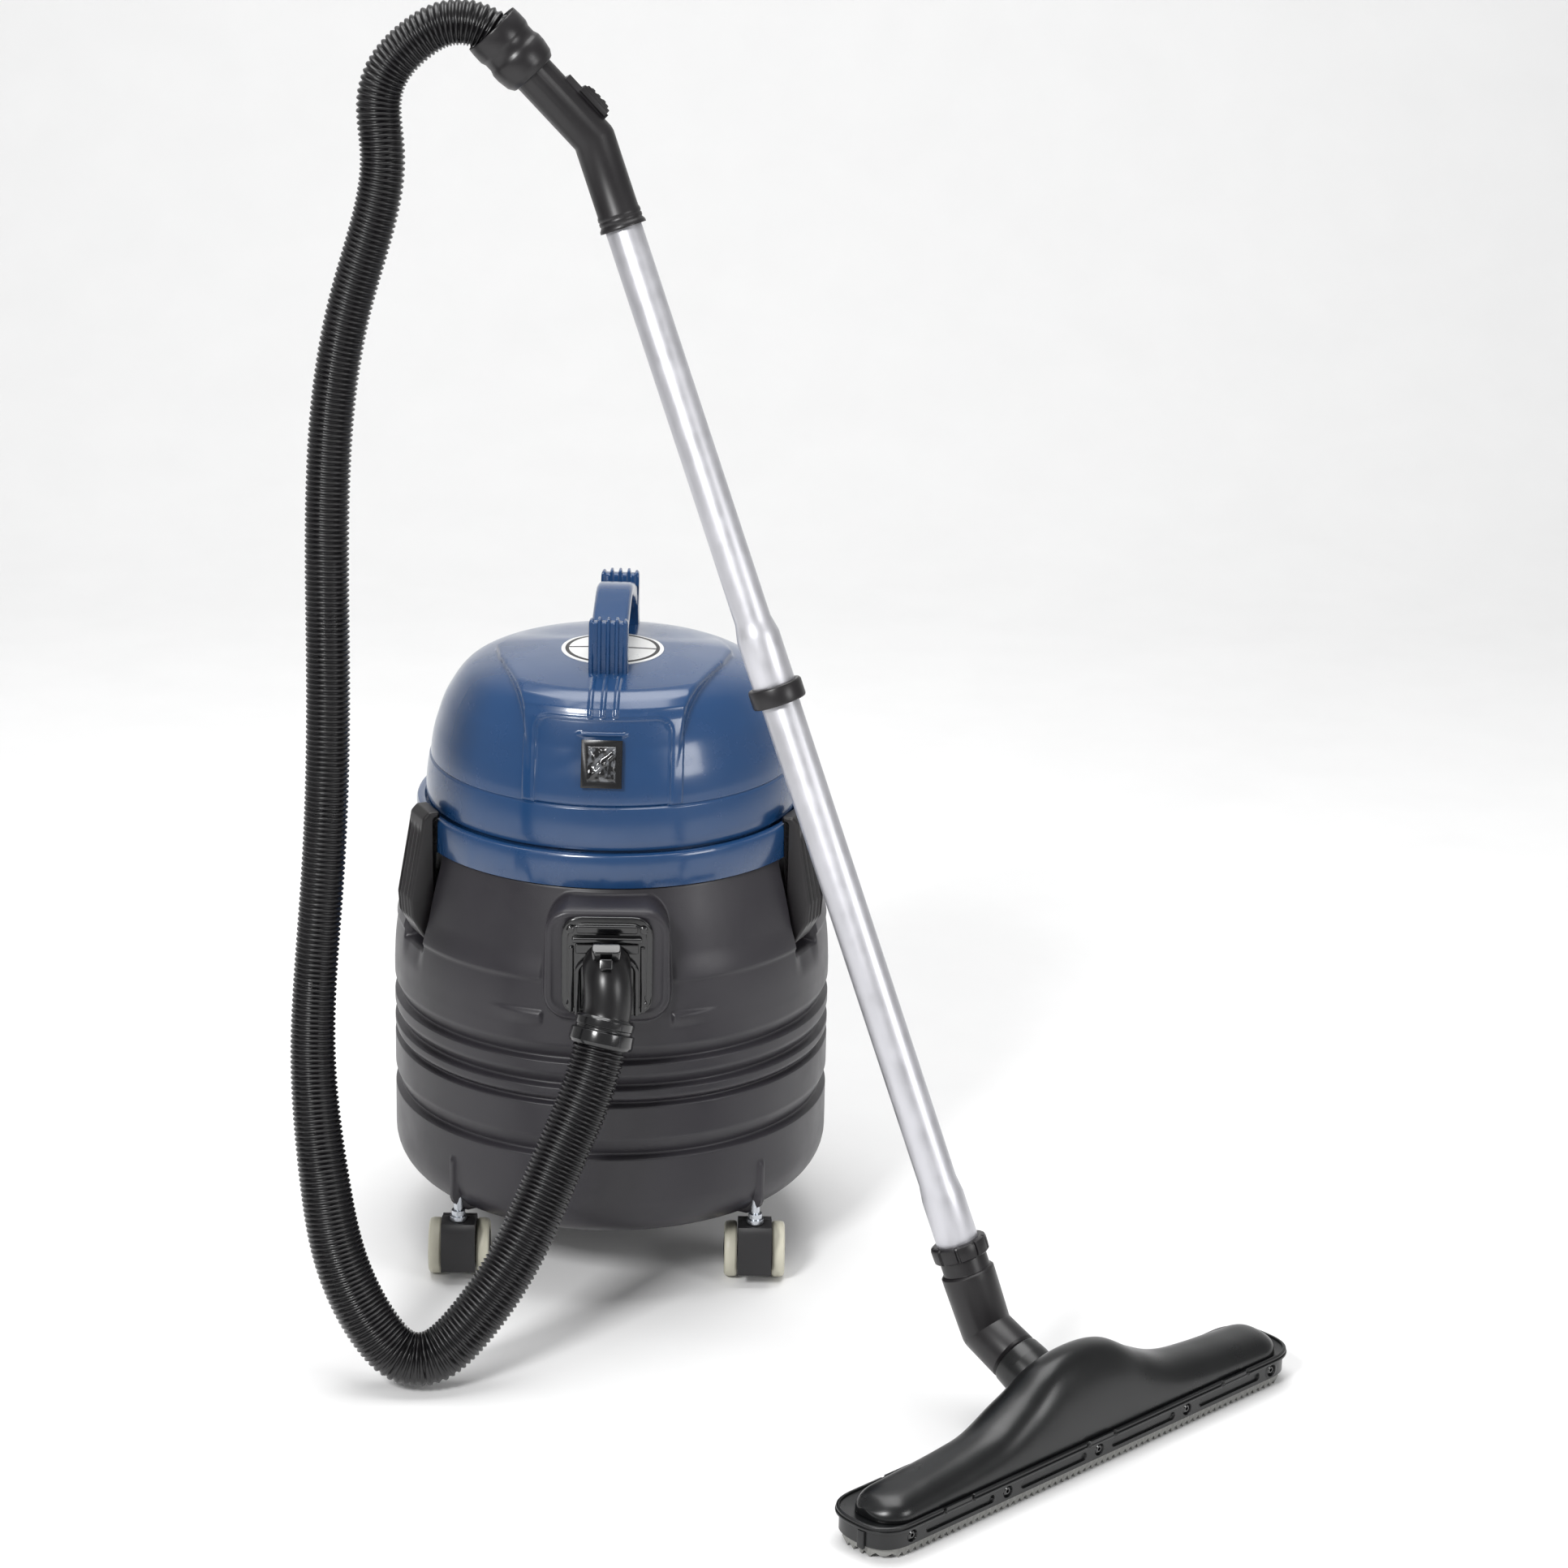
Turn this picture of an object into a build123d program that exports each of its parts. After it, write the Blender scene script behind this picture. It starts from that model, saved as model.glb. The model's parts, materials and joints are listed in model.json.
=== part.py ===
from build123d import *
import os
from math import cos, radians, sin

# Wet and dry canister vacuum cleaner. Millimetres, +Z up. Everything is drawn about the axis of the
# tank, on the floor, with the hose inlet facing -Y and the tool to the +X side. The finished pieces are
# then moved so that the origin is on the floor below the middle of the whole machine.

# ---------------------------------------------------------------- driving dimensions
MIDDLE = Vector(160.5, -221.3, 0)     # middle of the whole machine's footprint, from the tank's axis
HEAD_TURN = -2.5        # the head stands a little turned on the tank

RUN = 0.05              # radial running clearance between parts that turn or slide
FIT = 0.02              # clearance between parts that are fixed to each other

TANK_R = 196.0          # widest radius of the tank
TANK_FLOOR_Z = 62.0
TANK_CORNER_R = 40.0
TANK_WALL = 3.5
BARREL_TOP_Z = 262.0    # the wall is upright up to here, then leans in to the rim
RIM_R = 172.5
RIM_LAND_R = 170.8
RIM_BORE_R = 163.0
RIM_SHOULDER_Z = 385.0
RIM_TOP_Z = 392.0
GROOVES = ((249, 232), (222, 208), (200, 192), (162, 143))   # start and ledge height of each groove
GROOVE_DEPTH = 4.0

INLET_Z = 327.0
INLET_FACE_Y = -200.0   # flat face of the moulded boss that carries the inlet plate
INLET_BORE_R = 20.0
BOSS_W, BOSS_H, BOSS_CORNER = 120.0, 108.0, 26.0
PLATE_W, PLATE_H, PLATE_CORNER = 78.0, 90.0, 18.0
PLATE_SCREW_X, PLATE_SCREW_Z = 31.0, 34.0     # the plate's four screws stand this far from the inlet's axis
PLATE_SCREW_R = 1.8

LATCH_ANGLE = 65.0      # each latch stands this far round from the front
LATCH_W = 32.0
LATCH_PIVOT_R, LATCH_PIVOT_Z = 181.5, 316.0
LATCH_PIN_R = 2.5
POCKET_W, POCKET_BACK_R = 40.0, 169.5
POCKET_LOW_Z = 298.0

STEM_X, STEM_Y = 132.0, 137.0
STEM_R = 4.0
STEM_BOSS_R = 7.5       # slim upright boss on the tank's wall above each caster
WHEEL_R = 25.0
WHEEL_TRAIL = 18.0
HOOD_W = 30.0
WHEEL_W = 11.5
HUB_R = 19.0
AXLE_R = 3.0
HOOD_TOP_Z = 58.0
HOOD_LOW_Z = 13.0
WHEEL_GAP = 0.6         # between the hood and each wheel

RING_R = 175.0
RING_LOW_Z, RING_TOP_Z = 387.0, 416.5
NECK_R = 160.0          # neck of the ring, in the dark gap under the dome
DOME_LOW_Z = 419.0
DOME_SEAM_Z = 455.0
DOME_TOP_Z = 556.0
DOME_WALL = 3.0
BASE_Z, BASE_T = 404.0, 4.0

HANDLE_W = 34.0
HANDLE_HALF = 88.0      # from the tank's axis to the outer face of each foot
HANDLE_FOOT_Z = 540.0   # below the cap, which trims the feet
HANDLE_BLOCK_Z = 600.0  # the ribbed block of each foot stands proud of the arch
HANDLE_TOP_Z = 608.0
HANDLE_SCREW_X, HANDLE_SCREW_Y = 10.0, 78.0

BADGE_R, BADGE_Y, BADGE_T = 45.0, -22.5, 0.8

CAGE_R, CAGE_LOW_Z = 70.0, 250.0
FLOAT_R = 24.0
MOTOR_R = 62.0
MOTOR_LOW_Z, MOTOR_TOP_Z = 411.0, 505.0

SWITCH_Z = 493.0
SWITCH_TILT = 16.0      # the switch leans back with the front of the cap
ROCKER_PIVOT = 9.0      # depth of the rocker's pivot behind the face
ROCKER_PIN_R = 1.5
BEZEL_W, BEZEL_H = 35.0, 41.0

EXHAUST_Z, EXHAUST_W, EXHAUST_H = 500.0, 80.0, 24.0
POWER_Z, POWER_W, POWER_H = 440.0, 27.0, 22.0

HOSE_R, HOSE_BORE_R = 20.0, 16.0
GRIP_R, GRIP_BORE_R = 17.0, 14.0
WAND_TOP_R, WAND_LOW_R = 15.0, 16.0
WAND_WALL = 1.2
ARCH_R, ARCH_TURN = 45.0, 80.0        # the round arch of the hose at the handle
SLEEVE_L = 74.0         # from the handle's bend down to the sleeve's mouth
SLIDER_S = 28.0         # centre of the relief opening, up the grip from the bend
SLIDER_REST = -6.0      # the slider's centre along its pad, with the opening covered

# The wand leans from the elbow on the floor tool up to the bend of the handle.
ELBOW = Vector(322, -385, 78)
BEND = Vector(-14.5, -220.5, 1037.5)
WAND_DIR = (BEND - ELBOW).normalized()
GRIP_DIR = Vector(-0.69, 0.0, 0.7238).normalized()

TOOL_CENTRE = Vector(388, -457, 0)
TOOL_TURN = 42.4        # the floor tool's length, turned from the X axis
TOOL_L, TOOL_W = 500.0, 72.0
TOOL_LEG_TILT = 22.5    # slope of the elbow's lower leg
TOOL_NECK_R, TOOL_NECK_BORE_R = 23.0, 19.0
ELBOW_R = 21.0
LEG_L = 68.0            # from the elbow's bend to the end of its lower leg
RIM_Z = 30.0            # top of the base rim, where the body starts
BASE_LOW_Z = 10.0
BASE_WALL = 10.0        # width of the base's rim, between the plate's side and its mouth
STRIP_T = 3.0
TOOL_PITCH = 108.0      # between the screws, and between the slots, along the tool's side
TOOL_SCREW_Z = 18.0

BEARING_R = 11.0
SHAFT_R = 4.0

# ---------------------------------------------------------------- working planes and helpers
os.makedirs("parts", exist_ok=True)


def finish(piece, name):
    """Move a finished piece into the machine's frame, label it and write it out."""
    piece.part.move(Location(-MIDDLE))
    piece.part.label = name
    export_step(piece.part, f"parts/{name}.step")


def finish_on_head(piece, name):
    """Finish a piece of the head, which is turned with it about the tank's axis."""
    piece.part.move(Location((0, 0, 0), (0, 0, HEAD_TURN)))
    finish(piece, name)


def along(origin, direction, distance=0.0, x_dir=None):
    """Plane across an axis, at a distance along it."""
    return Plane(origin=origin + direction * distance, x_dir=x_dir, z_dir=direction)


def radial_plane(angle):
    """Upright plane through the tank's axis, local x outward at this angle from the front, local y up."""
    outward = Vector(sin(radians(angle)), -cos(radians(angle)), 0)
    return Plane(origin=(0, 0, 0), x_dir=outward, z_dir=outward.cross(Vector(0, 0, 1)))


def turned(points, plane=Plane.XZ):
    """A solid of revolution about the plane's local y axis from (radius, height) points."""
    with BuildPart() as body:
        with BuildSketch(plane):
            with BuildLine():
                Polyline(*points, close=True)
            make_face()
        revolve(axis=Axis(plane.origin, plane.y_dir))
    return body.part


def spun(origin, direction, points):
    """A solid of revolution about a sloping axis from (radius, distance along the axis) points."""
    across = Plane(origin=origin, z_dir=direction).x_dir
    return turned(points, Plane(origin=origin, x_dir=across, z_dir=across.cross(direction)))


tool_along = Vector(cos(radians(TOOL_TURN)), sin(radians(TOOL_TURN)), 0)
tool_back = Vector(-tool_along.Y, tool_along.X, 0)
leg_dir = tool_back * cos(radians(TOOL_LEG_TILT)) + Vector(0, 0, sin(radians(TOOL_LEG_TILT)))


def tool_plane(height=0.0):
    """Level plane of the floor tool, local x along its length and local y to its back."""
    return Plane(origin=TOOL_CENTRE + Vector(0, 0, height), x_dir=tool_along, z_dir=(0, 0, 1))


# ---------------------------------------------------------------- tank
STEM_PLACES = [(x, y) for x in (-STEM_X, STEM_X) for y in (-STEM_Y, STEM_Y)]


def groove_points(radius, depth):
    """Outline of the hoop grooves from top to bottom: a slow slope in and a sharp ledge out."""
    points = []
    for start, ledge in GROOVES:
        points += [(radius, start), (radius - depth, ledge + 3), (radius, ledge)]
    return points


with BuildPart() as tank_outside:
    with BuildSketch(Plane.XZ):
        with BuildLine():
            bottom = Line((0, TANK_FLOOR_Z), (TANK_R - TANK_CORNER_R, TANK_FLOOR_Z))
            corner = JernArc(bottom @ 1, (1, 0), TANK_CORNER_R, 90)
            grooves = reversed(groove_points(TANK_R, GROOVE_DEPTH))
            hoops = Polyline(corner @ 1, *grooves, (TANK_R, BARREL_TOP_Z))
            lean = Spline(hoops @ 1, (188, 325), (RIM_R, RIM_SHOULDER_Z), tangents=((0, 1), (-0.12, 1)))
            Polyline(
                lean @ 1,
                (RIM_LAND_R, RIM_SHOULDER_Z),
                (RIM_LAND_R, RIM_TOP_Z),
                (0, RIM_TOP_Z),
                (0, TANK_FLOOR_Z),
            )
        make_face()
    revolve(axis=Axis.Z)
    with BuildSketch(Plane.XZ.offset(150)):
        with Locations((0, INLET_Z)):
            RectangleRounded(BOSS_W, BOSS_H, BOSS_CORNER)
    extrude(amount=-INLET_FACE_Y - 150, taper=4)
    with Locations(*[(x, y, TANK_FLOOR_Z + 10) for x, y in STEM_PLACES]):
        Cylinder(STEM_BOSS_R, 50, align=(Align.CENTER, Align.CENTER, Align.MIN))

with BuildPart() as latch_pockets:
    for side in (-1, 1):
        with BuildSketch(radial_plane(side * LATCH_ANGLE)):
            with Locations((POCKET_BACK_R, POCKET_LOW_Z)):
                Rectangle(60, 120, align=(Align.MIN, Align.MIN))
        extrude(amount=POCKET_W / 2, both=True)

with BuildPart() as pocket_walls:
    for side in (-1, 1):
        with BuildSketch(radial_plane(side * LATCH_ANGLE)):
            with Locations((POCKET_BACK_R - TANK_WALL, POCKET_LOW_Z - TANK_WALL)):
                Rectangle(60, 130, align=(Align.MIN, Align.MIN))
        extrude(amount=POCKET_W / 2 + TANK_WALL, both=True)

with BuildPart() as tank_cavity:
    inner = TANK_R - GROOVE_DEPTH - TANK_WALL
    floor_z = TANK_FLOOR_Z + TANK_WALL
    with BuildSketch(Plane.XZ):
        with BuildLine():
            bottom = Line((0, floor_z), (inner - TANK_CORNER_R, floor_z))
            corner = JernArc(bottom @ 1, (1, 0), TANK_CORNER_R, 90)
            wall = Line(corner @ 1, (inner, BARREL_TOP_Z))
            bore = (RIM_BORE_R, RIM_SHOULDER_Z - 6)
            lean = Spline(wall @ 1, (181, 325), bore, tangents=((0, 1), (-0.12, 1)))
            Polyline(lean @ 1, (RIM_BORE_R, RIM_TOP_Z + 1), (0, RIM_TOP_Z + 1), (0, floor_z))
        make_face()
    revolve(axis=Axis.Z)
    add(pocket_walls.part, mode=Mode.SUBTRACT)

with BuildPart() as tank_shell:
    add(tank_outside.part)
    add(latch_pockets.part, mode=Mode.SUBTRACT)
    add(tank_cavity.part, mode=Mode.SUBTRACT)
    with BuildSketch(Plane.XZ.offset(140)):
        with Locations((0, INLET_Z)):
            Circle(INLET_BORE_R + 2)
        with Locations((0, INLET_Z)):
            with GridLocations(2 * PLATE_SCREW_X, 2 * PLATE_SCREW_Z, 2, 2):
                Circle(PLATE_SCREW_R)
    extrude(amount=80, mode=Mode.SUBTRACT)
    with Locations(*[(x, y, TANK_FLOOR_Z) for x, y in STEM_PLACES]):
        Cylinder(STEM_R + FIT, 80, align=(Align.CENTER, Align.CENTER, Align.CENTER), mode=Mode.SUBTRACT)
    for side in (-1, 1):
        with BuildSketch(radial_plane(side * LATCH_ANGLE)):
            with Locations((LATCH_PIVOT_R, LATCH_PIVOT_Z)):
                Circle(LATCH_PIN_R + FIT)
        extrude(amount=POCKET_W / 2 + 3, both=True, mode=Mode.SUBTRACT)
finish(tank_shell, "tank_shell")

with BuildPart() as tank_gasket:
    add(turned([(164, RIM_TOP_Z), (170.5, RIM_TOP_Z), (170.5, RIM_TOP_Z + 4), (164, RIM_TOP_Z + 4)]))
finish(tank_gasket, "tank_gasket")

with BuildPart() as latch_pins:
    for side in (-1, 1):
        with BuildSketch(radial_plane(side * LATCH_ANGLE)):
            with Locations((LATCH_PIVOT_R, LATCH_PIVOT_Z)):
                Circle(LATCH_PIN_R)
        extrude(amount=POCKET_W / 2 + 3, both=True)
finish(latch_pins, "latch_pins")

# ---------------------------------------------------------------- latches
# Side outline of a latch, as (radius, height). Its hook reaches over the ring and its tail ends at a
# radius about the pin, so that it can swing outward inside its pocket.
LATCH_OUTLINE = (
    (LATCH_PIVOT_R - 6, LATCH_PIVOT_Z - 8),
    (LATCH_PIVOT_R + 6, LATCH_PIVOT_Z - 9),
    (199.5, 330),
    (200.5, 345),
    (190, 405),
    (187, 420),
    (182, 424.5),
    (172, 424.5),
    (171, 418),
    (176.5, 417.5),
    (176.5, 386),
    (175.5, LATCH_PIVOT_Z + 4),
)


def make_latch(side, name):
    across = radial_plane(side * LATCH_ANGLE)
    with BuildPart() as latch:
        with BuildSketch(across):
            with BuildLine():
                Polyline(*LATCH_OUTLINE, close=True)
            make_face()
            with Locations((LATCH_PIVOT_R, LATCH_PIVOT_Z)):
                Circle(LATCH_PIN_R + RUN, mode=Mode.SUBTRACT)
        extrude(amount=LATCH_W / 2, both=True)
        # Two finger grooves run down the outer face.
        for offset in (-7, 7):
            with BuildSketch(across.offset(offset)):
                with BuildLine():
                    Polyline((204, 336), (198.6, 345), (188.5, 402), (202, 402), close=True)
                make_face()
            extrude(amount=3, both=True, mode=Mode.SUBTRACT)
    finish(latch, name)


make_latch(-1, "latch_left")
make_latch(1, "latch_right")

# ---------------------------------------------------------------- casters
CASTERS = {"front_left": (-1, -1), "front_right": (1, -1), "rear_left": (-1, 1), "rear_right": (1, 1)}

with BuildPart() as caster_stems:
    for side, end in CASTERS.values():
        with Locations((side * STEM_X, end * STEM_Y, 0)):
            with Locations((0, 0, 30)):
                Cylinder(STEM_R, 70, align=(Align.CENTER, Align.CENTER, Align.MIN))
            with Locations((0, 0, HOOD_TOP_Z + 1)):
                Cylinder(7.5, 4, align=(Align.CENTER, Align.CENTER, Align.MIN))
            with Locations((0, 0, HOOD_TOP_Z + 5)):
                Cylinder(6, 5, align=(Align.CENTER, Align.CENTER, Align.MIN))
finish(caster_stems, "caster_stems")


def make_caster(place, side, end):
    stem = Vector(side * STEM_X, end * STEM_Y, 0)
    hub = stem + Vector(0, WHEEL_TRAIL, WHEEL_R)
    side_view = Plane(origin=stem, x_dir=(0, 1, 0), z_dir=(1, 0, 0))

    with BuildPart() as hood:
        with BuildSketch(side_view):
            with BuildLine():
                shoulder = Line((WHEEL_TRAIL, HOOD_TOP_Z - 4), (8, HOOD_TOP_Z))
                nose = Polyline(shoulder @ 1, (-11, HOOD_TOP_Z), (-14, HOOD_TOP_Z - 8), (-14, HOOD_LOW_Z))
                tail = Polyline(nose @ 1, (31, HOOD_LOW_Z), (41, 28))
                ThreePointArc(tail @ 1, (36, 46), shoulder @ 0)
            make_face()
        extrude(amount=HOOD_W / 2, both=True)
        with Locations(stem + Vector(0, 0, 29.5)):
            Cylinder(STEM_R + RUN, 40, align=(Align.CENTER, Align.CENTER, Align.MIN), mode=Mode.SUBTRACT)
        with BuildSketch(side_view):
            with Locations((WHEEL_TRAIL, WHEEL_R)):
                Circle(AXLE_R + FIT)
        extrude(amount=HOOD_W, both=True, mode=Mode.SUBTRACT)
    finish(hood, f"caster_{place}_hood")

    with BuildPart() as axle:
        with BuildSketch(side_view):
            with Locations((WHEEL_TRAIL, WHEEL_R)):
                Circle(AXLE_R)
        extrude(amount=HOOD_W / 2 + WHEEL_W - 1, both=True)
    finish(axle, f"caster_{place}_axle")

    inner = HOOD_W / 2 + WHEEL_GAP
    outer = inner + WHEEL_W
    with BuildPart() as hubs:
        for way in (-1, 1):
            add(spun(hub, Vector(way, 0, 0), [
                (AXLE_R + RUN, inner), (HUB_R, inner), (HUB_R, outer - 1), (14, outer), (0, outer + 0.8),
                (0, outer - 0.5), (AXLE_R + RUN, outer - 0.5),
            ]))
    finish(hubs, f"caster_{place}_hubs")

    with BuildPart() as tyres:
        for way in (-1, 1):
            add(spun(hub, Vector(way, 0, 0), [
                (HUB_R, inner), (WHEEL_R - 1, inner), (WHEEL_R, inner + 1.5), (WHEEL_R, outer - 4),
                (WHEEL_R - 1.2, outer - 1.5), (WHEEL_R - 4, outer), (HUB_R, outer - 1),
            ]))
    finish(tyres, f"caster_{place}_tyres")


for place, (side, end) in CASTERS.items():
    make_caster(place, side, end)

# ---------------------------------------------------------------- inlet
ELBOW_START = Vector(0, INLET_FACE_Y - 12, INLET_Z + 4)
CUFF_CENTRE = Vector(-4, -248, 275)
CUFF_DIR = Vector(-0.20, -0.33, -0.92).normalized()

ELBOW_STRAIGHT = ELBOW_START + Vector(0, -2, 0)
with BuildLine() as elbow_path:
    Line(ELBOW_START, ELBOW_STRAIGHT)
    Spline(ELBOW_STRAIGHT, CUFF_CENTRE - CUFF_DIR * 24, tangents=((0, -1, 0), CUFF_DIR))
    Line(CUFF_CENTRE - CUFF_DIR * 24, CUFF_CENTRE - CUFF_DIR * 14)

with BuildPart() as inlet_plate:
    with BuildSketch(Plane.XZ.offset(-INLET_FACE_Y)):
        with Locations((0, INLET_Z)):
            RectangleRounded(PLATE_W, PLATE_H, PLATE_CORNER)
    extrude(amount=6)
    with BuildSketch(Plane.XZ.offset(-INLET_FACE_Y + 6)):
        with Locations((0, INLET_Z + 2)):
            RectangleRounded(PLATE_W - 24, PLATE_H - 20, PLATE_CORNER - 8)
    extrude(amount=6)
    with BuildSketch(Plane.XZ.offset(-INLET_FACE_Y - 14)):
        with Locations((0, INLET_Z)):
            Circle(INLET_BORE_R + 2 - FIT)
    extrude(amount=14)
    with BuildSketch(Plane.XZ.offset(-INLET_FACE_Y - 30)):
        with Locations((0, ELBOW_START.Z)):
            Circle(HOSE_BORE_R)
        with Locations((0, INLET_Z)):
            with GridLocations(2 * PLATE_SCREW_X, 2 * PLATE_SCREW_Z, 2, 2):
                Circle(PLATE_SCREW_R)
    extrude(amount=50, mode=Mode.SUBTRACT)
finish(inlet_plate, "inlet_plate")

with BuildPart() as inlet_screws:
    for x in (-PLATE_SCREW_X, PLATE_SCREW_X):
        for z in (-PLATE_SCREW_Z, PLATE_SCREW_Z):
            add(spun(Vector(x, INLET_FACE_Y, INLET_Z + z), Vector(0, -1, 0), [
                (0, -12), (PLATE_SCREW_R - FIT, -12), (PLATE_SCREW_R - FIT, 6), (3.8, 6), (3.8, 7.5),
                (2.5, 8.4), (0, 8.4),
            ]))
finish(inlet_screws, "inlet_screws")

with BuildPart() as inlet_elbow:
    with BuildSketch(along(elbow_path.wire() @ 0, Vector(0, -1, 0))):
        Circle(HOSE_R + 0.5)
        Circle(HOSE_BORE_R, mode=Mode.SUBTRACT)
    sweep(path=elbow_path.wire())
finish(inlet_elbow, "inlet_elbow")

with BuildPart() as inlet_deflector:
    with BuildSketch(Plane.XY.offset(INLET_Z - 34)):
        with Locations((0, -150)):
            Rectangle(70, 80)
            Rectangle(64, 74, mode=Mode.SUBTRACT)
    extrude(amount=68)
    add(tank_cavity.part, mode=Mode.INTERSECT)
finish(inlet_deflector, "inlet_deflector")

# ---------------------------------------------------------------- hose
# The cuff turns on the elbow's end, about its own axis, and the hose screws into it.
with BuildPart() as hose_inlet_cuff:
    add(spun(CUFF_CENTRE, CUFF_DIR, [
        (HOSE_R + 0.5 + RUN, -22), (23.5, -22), (24.5, -20), (24.5, -12), (25.2, -10), (25.2, 0), (24, 2),
        (HOSE_R + 1.5, 2), (HOSE_R + RUN, -2), (HOSE_R + RUN, -12), (HOSE_R + 0.5 + RUN, -14.2),
    ]))
finish(hose_inlet_cuff, "hose_inlet_cuff")

HOSE_TOP = BEND + GRIP_DIR * 101

# Centre line of the hose: down from the inlet, along the floor in front of the tank, up beside it and
# over in a round arch to the handle.
ARCH_FOOT = HOSE_TOP + GRIP_DIR * 5
arch_side = Vector(-GRIP_DIR.Z, 0, GRIP_DIR.X)


def arch_point(angle):
    """Point of the arch after it has turned through this angle from the handle."""
    turn = GRIP_DIR * sin(radians(angle)) - arch_side * cos(radians(angle))
    return ARCH_FOOT + (arch_side + turn) * ARCH_R


arch_heading = arch_side * sin(radians(ARCH_TURN)) + GRIP_DIR * cos(radians(ARCH_TURN))
HOSE_POINTS = (
    CUFF_CENTRE + CUFF_DIR * 10,
    (-34, -280, 190),
    (-64, -312, 122),
    (-106, -340, 58),
    (-154, -352, 23),
    (-200, -344, 66),
    (-231, -326, 170),
    (-242, -302, 275),
    (-235, -277, 420),
    (-229, -258, 580),
    (-228, -242, 755),
    (-207, -231, 910),
    (-182, -226, 1025),
    arch_point(ARCH_TURN),
)

with BuildLine() as hose_path:
    Line(CUFF_CENTRE - CUFF_DIR * 11, HOSE_POINTS[0])
    Spline(*HOSE_POINTS, tangents=(CUFF_DIR, -arch_heading))
    ThreePointArc(HOSE_POINTS[-1], arch_point(ARCH_TURN / 2), ARCH_FOOT)
    Line(ARCH_FOOT, HOSE_TOP)

with BuildPart() as hose:
    with BuildSketch(along(hose_path.wire() @ 0, CUFF_DIR)):
        Circle(HOSE_R)
        Circle(HOSE_BORE_R, mode=Mode.SUBTRACT)
    sweep(path=hose_path.wire())
finish(hose, "hose")

# The upper cuff is fixed to the hose and the grip turns in it, held by a collar on the grip's end.
with BuildPart() as hose_top_cuff:
    add(spun(BEND, GRIP_DIR, [
        (GRIP_R + RUN, 70), (20, 70), (23, 75), (24.5, 84), (24.5, 90), (23, 94), (23, 100), (24.5, 104),
        (24.5, 112), (24, 118), (23.2, 118), (20.1, 105), (20.1, 100.5), (17, 100.5), (17, 96.5),
        (20 + RUN, 96.5), (20 + RUN, 88.5), (GRIP_R + RUN, 88.5),
    ]))
finish(hose_top_cuff, "hose_top_cuff")

# ---------------------------------------------------------------- handle and wand
across_grip = WAND_DIR.cross(GRIP_DIR).normalized()
grip_front = across_grip.cross(GRIP_DIR).normalized() * -1    # the upper side of the grip


def slider_plane(height):
    """Plane lying on the upper side of the grip, local x up the grip."""
    return Plane(origin=BEND + GRIP_DIR * SLIDER_S + grip_front * height, x_dir=GRIP_DIR, z_dir=grip_front)


with BuildPart() as handle_grip:
    add(spun(BEND, GRIP_DIR, [(0, 0), (GRIP_R, 0), (GRIP_R, 89), (20, 89), (20, 96), (0, 96)]))
    add(spun(BEND, WAND_DIR, [
        (0, 0), (GRIP_R, 0), (GRIP_R, -60), (17.8, -62), (17.8, -64), (17.2, -65), (17.8, -66), (17.8, -68),
        (17.2, -69), (19, -72), (19, -SLEEVE_L), (0, -SLEEVE_L),
    ]))
    with Locations(BEND):
        Sphere(GRIP_R)
    with BuildSketch(slider_plane(0)):
        Rectangle(44, 20)
    extrude(amount=GRIP_R + 2)
    add(spun(BEND, GRIP_DIR, [(0, 0), (GRIP_BORE_R, 0), (GRIP_BORE_R, 97), (0, 97)]), mode=Mode.SUBTRACT)
    add(spun(BEND, WAND_DIR, [
        (0, 0), (GRIP_BORE_R - 0.5, 0), (GRIP_BORE_R - 0.5, -20), (WAND_TOP_R + RUN, -20),
        (WAND_TOP_R + RUN, -SLEEVE_L - 1), (0, -SLEEVE_L - 1),
    ]), mode=Mode.SUBTRACT)
    with Locations(BEND):
        Sphere(GRIP_BORE_R - 0.5, mode=Mode.SUBTRACT)
    with BuildSketch(slider_plane(5)):
        with Locations((-10, 0)):
            Rectangle(8, 10)
    extrude(amount=20, mode=Mode.SUBTRACT)
finish(handle_grip, "handle_grip")

# The slider runs on the pad over the bleed opening and clips over the pad's sides.
with BuildPart() as relief_slider:
    with BuildSketch(slider_plane(GRIP_R + 2 + RUN)):
        with Locations((SLIDER_REST, 0)):
            Rectangle(28, 24)
    extrude(amount=5)
    with BuildSketch(slider_plane(GRIP_R + 2 + RUN - 3.5)):
        with Locations((SLIDER_REST, 0)):
            Rectangle(28, 24)
            Rectangle(30, 20 + 2 * RUN, mode=Mode.SUBTRACT)
    extrude(amount=3.5)
    with BuildSketch(slider_plane(GRIP_R + 7)):
        with Locations((SLIDER_REST, 0)):
            with GridLocations(5, 0, 3, 1):
                Rectangle(2, 16)
    extrude(amount=1.6)
finish(relief_slider, "relief_slider")

WAND_L = (BEND - ELBOW).length
TOP_TUBE_S = WAND_L - 22          # upper end of the upper tube, measured up from the elbow's bend
JOINT_S = WAND_L * 0.54           # mouth of the joint between the two tubes
SWAGE_L = 55.0                    # wide stretch of the upper tube, above the mouth
SWAGE_TAPER = 14.0
LOW_SWAGE_S = 120.0               # the lower tube is wide again below this
LOW_TUBE_S = 64.0                 # lower end of the lower tube
OVERLAP = 52.0                    # length of one tube inside the other
SWAGE_R = WAND_LOW_R + WAND_WALL + RUN + 0.6

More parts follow.
